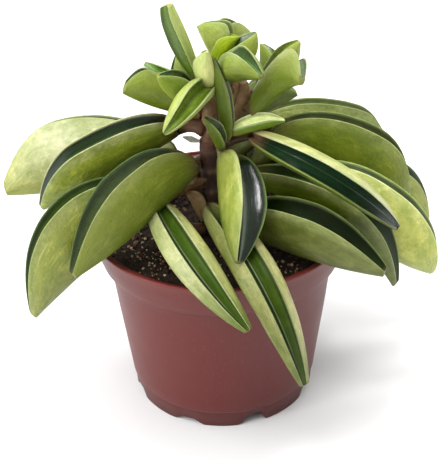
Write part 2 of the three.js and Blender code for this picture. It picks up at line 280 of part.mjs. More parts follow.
function leafSolid(L, extra) {
  const base = v3(L.base);
  const tip = v3(L.tip);
  const ex = tip.clone().sub(base);
  const length = ex.length();
  ex.normalize();
  const up = new THREE.Vector3(0, 0, 1);
  const ez0 = up.clone().addScaledVector(ex, -up.dot(ex)).normalize();
  const ey0 = new THREE.Vector3().crossVectors(ez0, ex);
  const ez1 = ez0.clone().multiplyScalar(Math.cos(L.roll)).addScaledVector(ey0, Math.sin(L.roll));
  const ey1 = new THREE.Vector3().crossVectors(ez1, ex);

  const rings = [];
  let firstZ = null;
  for (const s of STATIONS) {
    const q = 4 * s * (1 - s);
    const tw = L.twist * (s - 0.35);
    const ey = ey1.clone().multiplyScalar(Math.cos(tw)).addScaledVector(ez1, Math.sin(tw));
    const ez = ez1.clone().multiplyScalar(Math.cos(tw)).addScaledVector(ey1, -Math.sin(tw));
    if (!firstZ) firstZ = ez;
    const centre = base.clone().addScaledVector(ex, s * length).addScaledVector(ez1, L.arch * length * q).addScaledVector(ey1, L.sideBow * length * q);
    const keel = -L.keelBow * length * q;
    const sb = s * (1 - L.blunt);
    const top = L.depth * marginProfile(sb, L.peak);
    const k = Math.max(0, widthProfile(sb));
    const g = L.opening * k;
    const w = Math.max(L.bulge * k, g + 0.5 * k);
    const groove = Math.min(0.36 * (top - keel), 1.15 * g + 1.0);
    const core = L.petiole * clamp(1 - s / 0.35, 0, 1) ** 1.5 + 0.12 + extra;
    const lobe = 0.05 * length * (1 - s) ** 8;
    const y = [0, 0.8 * w, w, g + 0.45 * k, 0, -(g + 0.45 * k), -w, -0.8 * w];
    const z = [keel, keel + 0.22 * (top - keel), keel + 0.6 * (top - keel), top, top - groove, top, keel + 0.6 * (top - keel), keel + 0.22 * (top - keel)];
    const back = [0, 0.2, 0.6, 1, 0.5, 1, 0.6, 0.2];
    const ring = [];
    for (let j = 0; j < 8; j++) {
      let r = core;
      if (j === 4) r = s < 0.03 ? core : extra > 0 ? extra : 0.3 * core;
      ring.push(centre.clone()
        .addScaledVector(ey, y[j] + r * Math.cos(RING_ANGLES[j]))
        .addScaledVector(ez, z[j] + r * Math.sin(RING_ANGLES[j]))
        .addScaledVector(ex, -lobe * back[j]));
    }
    rings.push(ring);
  }
  const mean = (ring) => ring.reduce((m, p) => m.add(p), new THREE.Vector3()).multiplyScalar(1 / ring.length);
  const blade = solid(skin(rings, mean(rings[0]), mean(rings[rings.length - 1]).addScaledVector(ex, 0.5 + extra)));

  // Petiole: a curved stalk from the node on the stem into the leaf base.
  const from = v3(L.node);
  const reach = base.distanceTo(from);
  const c1 = from.clone().addScaledVector(v3(L.leave).normalize(), reach * L.ease[0]);
  const c2 = base.clone().addScaledVector(ex, -reach * L.ease[1]);
  const stalk = [];
  let ref = firstZ;
  const round = (p, x, r) => {
    const z = ref.clone().addScaledVector(x, -ref.dot(x)).normalize();
    const y = new THREE.Vector3().crossVectors(z, x);
    ref = z;
    stalk.unshift(RING_ANGLES.map((a) => p.clone().addScaledVector(y, r * Math.cos(a)).addScaledVector(z, r * Math.sin(a))));
  };
  round(base.clone().addScaledVector(ex, 0.03 * length), ex, 0.8 * L.petiole + extra);
  for (let i = PETIOLE_STEPS; i >= 0; i--) {
    const t = i / PETIOLE_STEPS;
    const x = bezier(from, c1, c2, base, Math.min(1, t + 0.01)).sub(bezier(from, c1, c2, base, Math.max(0, t - 0.01))).normalize();
    round(bezier(from, c1, c2, base, t), x, L.petiole * (1 + 0.25 * (1 - t)) + extra);
  }
  let whole = blade;
  for (let i = 0; i + 1 < stalk.length; i++) {
    whole = whole.add(Manifold.hull(stalk[i].concat(stalk[i + 1]).map((p) => [p.x, p.y, p.z])));
  }
  return whole;
}

// ---- assembly -------------------------------------------------------------
const group = new THREE.Group();
group.name = 'potted_peperomia';

const pot = makePot();
const stem = makeStem(0);
const stemFat = makeStem(CLEAR);
const soil = largest(makeSoil().subtract(stemFat)).simplify(0.05);
group.add(toMesh('pot', pot, 0xa8655a, 0.5));
group.add(toMesh('soil', soil, 0x2a2019, 0.95));
group.add(toMesh('stem', largest(stem), 0x5a3d2c, 0.7));

const touches = (a, b) => a.min.every((v, k) => v < b.max[k]) && b.min.every((v, k) => v < a.max[k]);
const placed = [{ fat: stemFat, solid: stem, box: stemFat.boundingBox() }];
const potFat = turned([
  [0, 5], [41, 5], [40.9, 0], [42.9, 0], [44.3, 9.3], [52.3, 72.5], [55.5, 72.5], [57.8, 80], [59.4, 86], [60.3, 89.2],
  [60.1, 90.3], [58.2, 90.3], [58.1, 89.1], [56, 89.1], [55.1, SOIL_TOP + 0.3], [50, SOIL_TOP + 0.6], [0, SOIL_TOP + SOIL_MOUND + 0.4],
]);
placed.push({ fat: potFat, solid: pot, box: potFat.boundingBox() });

for (const L of LEAVES) {
  let m = leafSolid(L, 0);
  const box = m.boundingBox();
  for (const other of placed) if (touches(box, other.box)) m = m.subtract(other.fat).subtract(other.solid);
  m = largest(m);
  m = largest(m.simplify(0.06));
  // Where a neighbour still touches, the leaf is trimmed back a little on every side of it.
  for (const other of placed) {
    if (!touches(box, other.box) || m.intersect(other.solid).volume() < 0.001) continue;
    for (const d of [[0.06, 0, 0], [-0.06, 0, 0], [0, 0.06, 0], [0, -0.06, 0], [0, 0, 0.06], [0, 0, -0.06]]) m = m.subtract(other.solid.translate(d));
    m = largest(m);
  }
  const crown = L.name.includes('crown') || L.name.includes('middle') || L.name.includes('side');
  const colour = L.name === 'withered_leaf' ? 0xa08358 : crown ? 0x93b04c : 0x9aa858;
  group.add(toMesh(L.name, m, colour, 0.45));
  const fat = leafSolid(L, CLEAR);
  placed.push({ fat, solid: m, box: fat.boundingBox() });
}

export default group;
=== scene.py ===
import bpy
import math
import random
import numpy as np
from mathutils import Matrix, Vector


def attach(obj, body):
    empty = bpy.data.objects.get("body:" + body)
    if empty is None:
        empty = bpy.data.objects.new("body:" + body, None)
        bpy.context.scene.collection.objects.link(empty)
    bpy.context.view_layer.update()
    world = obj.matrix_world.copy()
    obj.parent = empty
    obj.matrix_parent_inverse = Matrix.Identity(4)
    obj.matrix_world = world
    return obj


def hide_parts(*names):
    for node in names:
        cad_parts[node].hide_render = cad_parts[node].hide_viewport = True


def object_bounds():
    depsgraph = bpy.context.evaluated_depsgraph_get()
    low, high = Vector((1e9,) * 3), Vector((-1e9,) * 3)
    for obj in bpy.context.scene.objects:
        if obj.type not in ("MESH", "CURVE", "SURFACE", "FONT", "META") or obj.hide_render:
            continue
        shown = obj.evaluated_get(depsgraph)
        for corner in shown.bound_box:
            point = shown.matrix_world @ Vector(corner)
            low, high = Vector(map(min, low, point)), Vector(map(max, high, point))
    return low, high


# A potted peperomia: a terracotta-coloured plastic pot, potting soil, a bare brown
# stem that forks, and folded succulent leaves. Lengths in the tables are in millimetres.

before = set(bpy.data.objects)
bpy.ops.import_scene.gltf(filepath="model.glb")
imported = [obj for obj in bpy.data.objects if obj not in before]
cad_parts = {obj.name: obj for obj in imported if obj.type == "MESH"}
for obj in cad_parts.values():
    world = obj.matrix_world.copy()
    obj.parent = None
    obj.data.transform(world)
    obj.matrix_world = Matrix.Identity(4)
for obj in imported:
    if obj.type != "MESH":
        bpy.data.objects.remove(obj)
first_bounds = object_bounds()
MM = 0.001
rng = np.random.default_rng(7)
random.seed(7)
scene = bpy.context.scene


# ---------------------------------------------------------------- helpers
def lin(c):
    """sRGB 0-255 to linear."""
    c = np.asarray(c, float) / 255.0
    return np.where(c <= 0.04045, c / 12.92, ((c + 0.055) / 1.055) ** 2.4)


def rgba(c):
    v = lin(c)
    return (float(v[0]), float(v[1]), float(v[2]), 1.0)


def norm(v):
    return v / np.linalg.norm(v)


def smooth01(x):
    x = np.clip(x, 0, 1)
    return x * x * (3 - 2 * x)


def make_mesh(name, verts, faces, attrs=None, smooth=True):
    me = bpy.data.meshes.new(name)
    me.from_pydata([tuple(map(float, p)) for p in verts], [], faces)
    me.update()
    if attrs:
        for key, val in attrs.items():
            val = np.asarray(val, np.float32)
            if val.ndim == 1:
                a = me.attributes.new(key, "FLOAT", "POINT")
                a.data.foreach_set("value", val)
            elif val.shape[1] == 3:
                a = me.attributes.new(key, "FLOAT_VECTOR", "POINT")
                a.data.foreach_set("vector", val.ravel())
            else:
                a = me.attributes.new(key, "FLOAT_COLOR", "POINT")
                a.data.foreach_set("color", val.ravel())
    me.polygons.foreach_set("use_smooth", [smooth] * len(me.polygons))
    ob = bpy.data.objects.new(name, me)
    scene.collection.objects.link(ob)
    return ob


def tube_faces(n_rings, n, closed_ends=True, first=0):
    """Quads between rings of n points, and a fan on one extra point at each end."""
    f = []
    for i in range(n_rings - 1):
        a = first + i * n
        b = a + n
        for j in range(n):
            k = (j + 1) % n
            f.append((a + j, a + k, b + k, b + j))
    if closed_ends:
        e0 = first + n_rings * n
        e1 = e0 + 1
        last = first + (n_rings - 1) * n
        for j in range(n):
            k = (j + 1) % n
            f.append((first + k, first + j, e0))
            f.append((last + j, last + k, e1))
    return f


class Noise3:
    """Smooth value noise from a seeded lattice."""

    def __init__(self, seed):
        self.t = np.random.default_rng(seed).random((32, 32, 32)) * 2 - 1

    def __call__(self, p, octaves=3):
        p = np.asarray(p, float)
        out = np.zeros(p.shape[:-1])
        amp = 1.0
        tot = 0.0
        for _ in range(octaves):
            i = np.floor(p).astype(int)
            f = p - i
            f = f * f * (3 - 2 * f)
            v = 0
            for dx in (0, 1):
                for dy in (0, 1):
                    for dz in (0, 1):
                        w = (f[..., 0] if dx else 1 - f[..., 0]) * (f[..., 1] if dy else 1 - f[..., 1]) * (f[..., 2] if dz else 1 - f[..., 2])
                        v = v + w * self.t[(i[..., 0] + dx) % 32, (i[..., 1] + dy) % 32, (i[..., 2] + dz) % 32]
            out += amp * v
            tot += amp
            amp *= 0.5
            p = p * 2.03 + 11.7
        return out / tot


noise = Noise3(5)


# ---------------------------------------------------------------- materials
class Mat:
    def __init__(self, name):
        self.m = bpy.data.materials.new(name)
        self.m.use_nodes = True
        self.nt = self.m.node_tree
        self.nt.nodes.clear()
        self.out = self.nt.nodes.new("ShaderNodeOutputMaterial")
        self.b = self.nt.nodes.new("ShaderNodeBsdfPrincipled")
        self.nt.links.new(self.b.outputs[0], self.out.inputs[0])

    def node(self, kind, **kw):
        n = self.nt.nodes.new(kind)
        for k, v in kw.items():
            setattr(n, k, v)
        return n

    def link(self, a, b):
        self.nt.links.new(a, b)

    def attr(self, name, out="Color"):
        n = self.node("ShaderNodeAttribute", attribute_type="GEOMETRY", attribute_name=name)
        return n.outputs[out]

    def coord(self):
        return self.node("ShaderNodeTexCoord").outputs["Object"]

    def scale(self, vec, s):
        n = self.node("ShaderNodeVectorMath", operation="MULTIPLY")
        self.link(vec, n.inputs[0])
        n.inputs[1].default_value = s
        return n.outputs[0]

    def noise(self, vec, scale, detail=3.0, rough=0.55, out="Fac"):
        n = self.node("ShaderNodeTexNoise")
        n.inputs["Scale"].default_value = scale
        n.inputs["Detail"].default_value = detail
        n.inputs["Roughness"].default_value = rough
        self.link(vec, n.inputs["Vector"])
        return n.outputs[out]

    def voronoi(self, vec, scale, out="Distance"):
        n = self.node("ShaderNodeTexVoronoi")
        n.inputs["Scale"].default_value = scale
        self.link(vec, n.inputs["Vector"])
        return n.outputs[out]

    def ramp(self, fac, lo, hi, a=0.0, b=1.0):
        n = self.node("ShaderNodeMapRange")
        n.inputs["From Min"].default_value = lo
        n.inputs["From Max"].default_value = hi
        n.inputs["To Min"].default_value = a
        n.inputs["To Max"].default_value = b
        self.link(fac, n.inputs["Value"])
        return n.outputs[0]

    def math(self, op, a, b=None):
        n = self.node("ShaderNodeMath", operation=op)
        for i, v in enumerate((a, b)):
            if v is None:
                continue
            if isinstance(v, (int, float)):
                n.inputs[i].default_value = v
            else:
                self.link(v, n.inputs[i])
        return n.outputs[0]

    def mix(self, fac, a, b, mode="MIX"):
        n = self.node("ShaderNodeMix", data_type="RGBA", blend_type=mode)
        for i, v in ((0, fac), (6, a), (7, b)):
            if isinstance(v, (int, float)):
                n.inputs[i].default_value = v
            elif isinstance(v, tuple):
                n.inputs[i].default_value = v
            else:
                self.link(v, n.inputs[i])
        return n.outputs[2]

    def bump(self, height, strength, distance, normal=None):
        n = self.node("ShaderNodeBump")
        n.inputs["Strength"].default_value = strength
        n.inputs["Distance"].default_value = distance
        self.link(height, n.inputs["Height"])
        if normal is not None:
            self.link(normal, n.inputs["Normal"])
        return n.outputs[0]


def leaf_material(name, rough=0.36, mottle=0.75, speck=0.5, spec=0.30):
    """The outer faces and the rim of a leaf: a tint carried by the piece, streaks along the leaf, blotches and pale dots."""
    m = Mat(name)
    col = m.attr("col")
    lc = m.attr("lc", "Vector")
    obj = m.coord()
    streak = m.noise(m.scale(lc, (0.07, 0.55, 1.0)), 1.0, 5.0, 0.68)
    fine = m.noise(m.scale(lc, (0.30, 1.5, 1.0)), 1.0, 3.0, 0.6)
    scratch = m.noise(m.scale(lc, (0.16, 3.4, 1.0)), 1.0, 2.0, 0.5)
    cloud = m.noise(obj, 46.0, 3.0, 0.55)
    blotch = m.noise(obj, 130.0, 4.0, 0.62)
    grain = m.noise(obj, 700.0, 3.0, 0.6)
    dark = m.mix(1.0, col, (0.50, 0.60, 0.34, 1.0), "MULTIPLY")
    pale = m.mix(1.0, col, (1.50, 1.40, 1.60, 1.0), "MULTIPLY")
    c0 = m.mix(m.math("MULTIPLY", m.ramp(cloud, 0.40, 0.66), mottle * 0.6), col, m.mix(1.0, col, (1.10, 1.06, 0.92, 1.0), "MULTIPLY"))
    c1 = m.mix(m.math("MULTIPLY", m.ramp(streak, 0.42, 0.64), mottle), c0, dark)
    c2 = m.mix(m.math("MULTIPLY", m.ramp(blotch, 0.52, 0.70), mottle * 0.9), c1, pale)
    c3 = m.mix(m.math("MULTIPLY", m.ramp(fine, 0.45, 0.75), 0.34), c2, dark)
    c3 = m.mix(m.math("MULTIPLY", m.ramp(grain, 0.5, 0.75), 0.30), c3, dark)
    c3 = m.mix(m.math("MULTIPLY", m.math("MULTIPLY", m.ramp(scratch, 0.60, 0.70), m.ramp(blotch, 0.45, 0.6)), 0.42), c3, pale)
    dots = m.ramp(m.voronoi(obj, 620.0), 0.16, 0.08)
    keep = m.ramp(m.noise(obj, 160.0, 2.0), 0.5, 0.62)
    c4 = m.mix(m.math("MULTIPLY", m.math("MULTIPLY", dots, keep), speck), c3, m.mix(1.0, col, (1.9, 1.75, 2.0, 1.0), "MULTIPLY"))
    scar = m.noise(m.scale(lc, (0.09, 5.5, 1.0)), 1.0, 2.0, 0.55)
    patch = m.ramp(m.noise(obj, 52.0, 2.0), 0.50, 0.60)
    c4 = m.mix(m.math("MULTIPLY", m.math("MULTIPLY", m.ramp(scar, 0.60, 0.66), patch), 0.5), c4, m.mix(1.0, col, (1.9, 1.75, 2.1, 1.0), "MULTIPLY"))
    spots = m.math("MULTIPLY", m.ramp(m.voronoi(obj, 150.0), 0.075, 0.05), m.ramp(m.noise(obj, 60.0, 2.0), 0.52, 0.6))
    c4 = m.mix(m.math("MULTIPLY", spots, 0.55), c4, m.mix(1.0, col, (0.38, 0.32, 0.22, 1.0), "MULTIPLY"))
    m.link(c4, m.b.inputs["Base Color"])
    m.link(m.ramp(blotch, 0.3, 0.7, rough - 0.07, rough + 0.09), m.b.inputs["Roughness"])
    h = m.math("ADD", m.math("MULTIPLY", m.noise(obj, 1100.0, 3.0), 0.6), fine)
    b1 = m.bump(m.noise(obj, 95.0, 3.0), 0.5, 0.0016)
    m.link(m.bump(h, 0.7, 0.0004, b1), m.b.inputs["Normal"])
    m.b.inputs["Subsurface Weight"].default_value = 0.12
    m.b.inputs["Subsurface Radius"].default_value = (0.0020, 0.0028, 0.0008)
    m.b.inputs["Subsurface Scale"].default_value = 1.0
    m.b.inputs["Specular IOR Level"].default_value = spec
    m.b.inputs["Coat Weight"].default_value = 0.04
    m.b.inputs["Coat Roughness"].default_value = 0.2
    m.b.inputs["IOR"].default_value = 1.45
    return m.m


def groove_material(name, rough=0.13, spec=0.42, coat=0.12):
    """The glossy window along the top of a leaf."""
    m = Mat(name)
    col = m.attr("col")
    lc = m.attr("lc", "Vector")
    obj = m.coord()
    streak = m.noise(m.scale(lc, (0.10, 0.55, 1.0)), 1.0, 4.0, 0.6)
    cloud = m.noise(obj, 210.0, 3.0, 0.6)
    c1 = m.mix(m.math("MULTIPLY", m.ramp(streak, 0.42, 0.66), 0.45), col, m.mix(1.0, col, (0.62, 0.7, 0.6, 1.0), "MULTIPLY"))
    ripple = m.noise(m.scale(lc, (0.30, 0.9, 1.0)), 1.0, 3.0, 0.6)
    c1 = m.mix(m.math("MULTIPLY", m.ramp(ripple, 0.48, 0.66), 0.5), c1, m.mix(1.0, col, (0.50, 0.56, 0.45, 1.0), "MULTIPLY"))
    c2 = m.mix(m.math("MULTIPLY", m.ramp(cloud, 0.52, 0.72), 0.35), c1, m.mix(1.0, col, (1.7, 1.6, 1.9, 1.0), "MULTIPLY"))
    m.link(c2, m.b.inputs["Base Color"])
    m.link(m.ramp(cloud, 0.3, 0.7, rough - 0.04, rough + 0.12), m.b.inputs["Roughness"])
    h = m.math("ADD", m.math("MULTIPLY", m.noise(obj, 1900.0, 2.0), 0.5), m.math("MULTIPLY", streak, 1.3))
    m.link(m.bump(h, 0.32, 0.00024), m.b.inputs["Normal"])
    m.b.inputs["Specular IOR Level"].default_value = spec
    m.b.inputs["Coat Weight"].default_value = coat
    m.b.inputs["Coat Roughness"].default_value = 0.14
    m.b.inputs["IOR"].default_value = 1.45
    return m.m


def pot_material():
    m = Mat("pot_plastic")
    obj = m.coord()
    col = m.attr("col")
    n1 = m.noise(obj, 60.0, 3.0)
    n2 = m.noise(m.scale(obj, (1.0, 1.0, 0.35)), 900.0, 3.0)
    c = m.mix(m.math("MULTIPLY", m.ramp(n1, 0.35, 0.7), 0.18), col, (0.105, 0.033, 0.026, 1.0))
    c = m.mix(m.math("MULTIPLY", m.ramp(n2, 0.6, 0.78), 0.14), c, (0.30, 0.15, 0.12, 1.0))
    m.link(c, m.b.inputs["Base Color"])
    m.link(m.ramp(n1, 0.3, 0.7, 0.40, 0.48), m.b.inputs["Roughness"])
    m.link(m.bump(n2, 0.12, 0.0002), m.b.inputs["Normal"])
    m.b.inputs["Specular IOR Level"].default_value = 0.34
    m.b.inputs["IOR"].default_value = 1.5
    return m.m


def grain_material(name, bump=0.6, dist=0.0004, scale=1400.0, rough=0.95, dark=(0.35, 0.33, 0.3, 1.0)):
    """Soil, crumbs and bark: a tint carried by the piece, broken up by two noises."""
    m = Mat(name)
    obj = m.coord()
    col = m.attr("col")
    n1 = m.noise(obj, scale, 4.0, 0.65)
    n2 = m.noise(obj, scale * 0.22, 3.0, 0.6)
    dk = m.mix(1.0, col, dark, "MULTIPLY")
    c = m.mix(m.math("MULTIPLY", m.ramp(n1, 0.4, 0.68), 0.7), col, dk)
    c = m.mix(m.math("MULTIPLY", m.ramp(n2, 0.45, 0.7), 0.5), c, dk)
    m.link(c, m.b.inputs["Base Color"])
    m.b.inputs["Roughness"].default_value = rough
    m.link(m.bump(n1, bump, dist), m.b.inputs["Normal"])
    return m.m


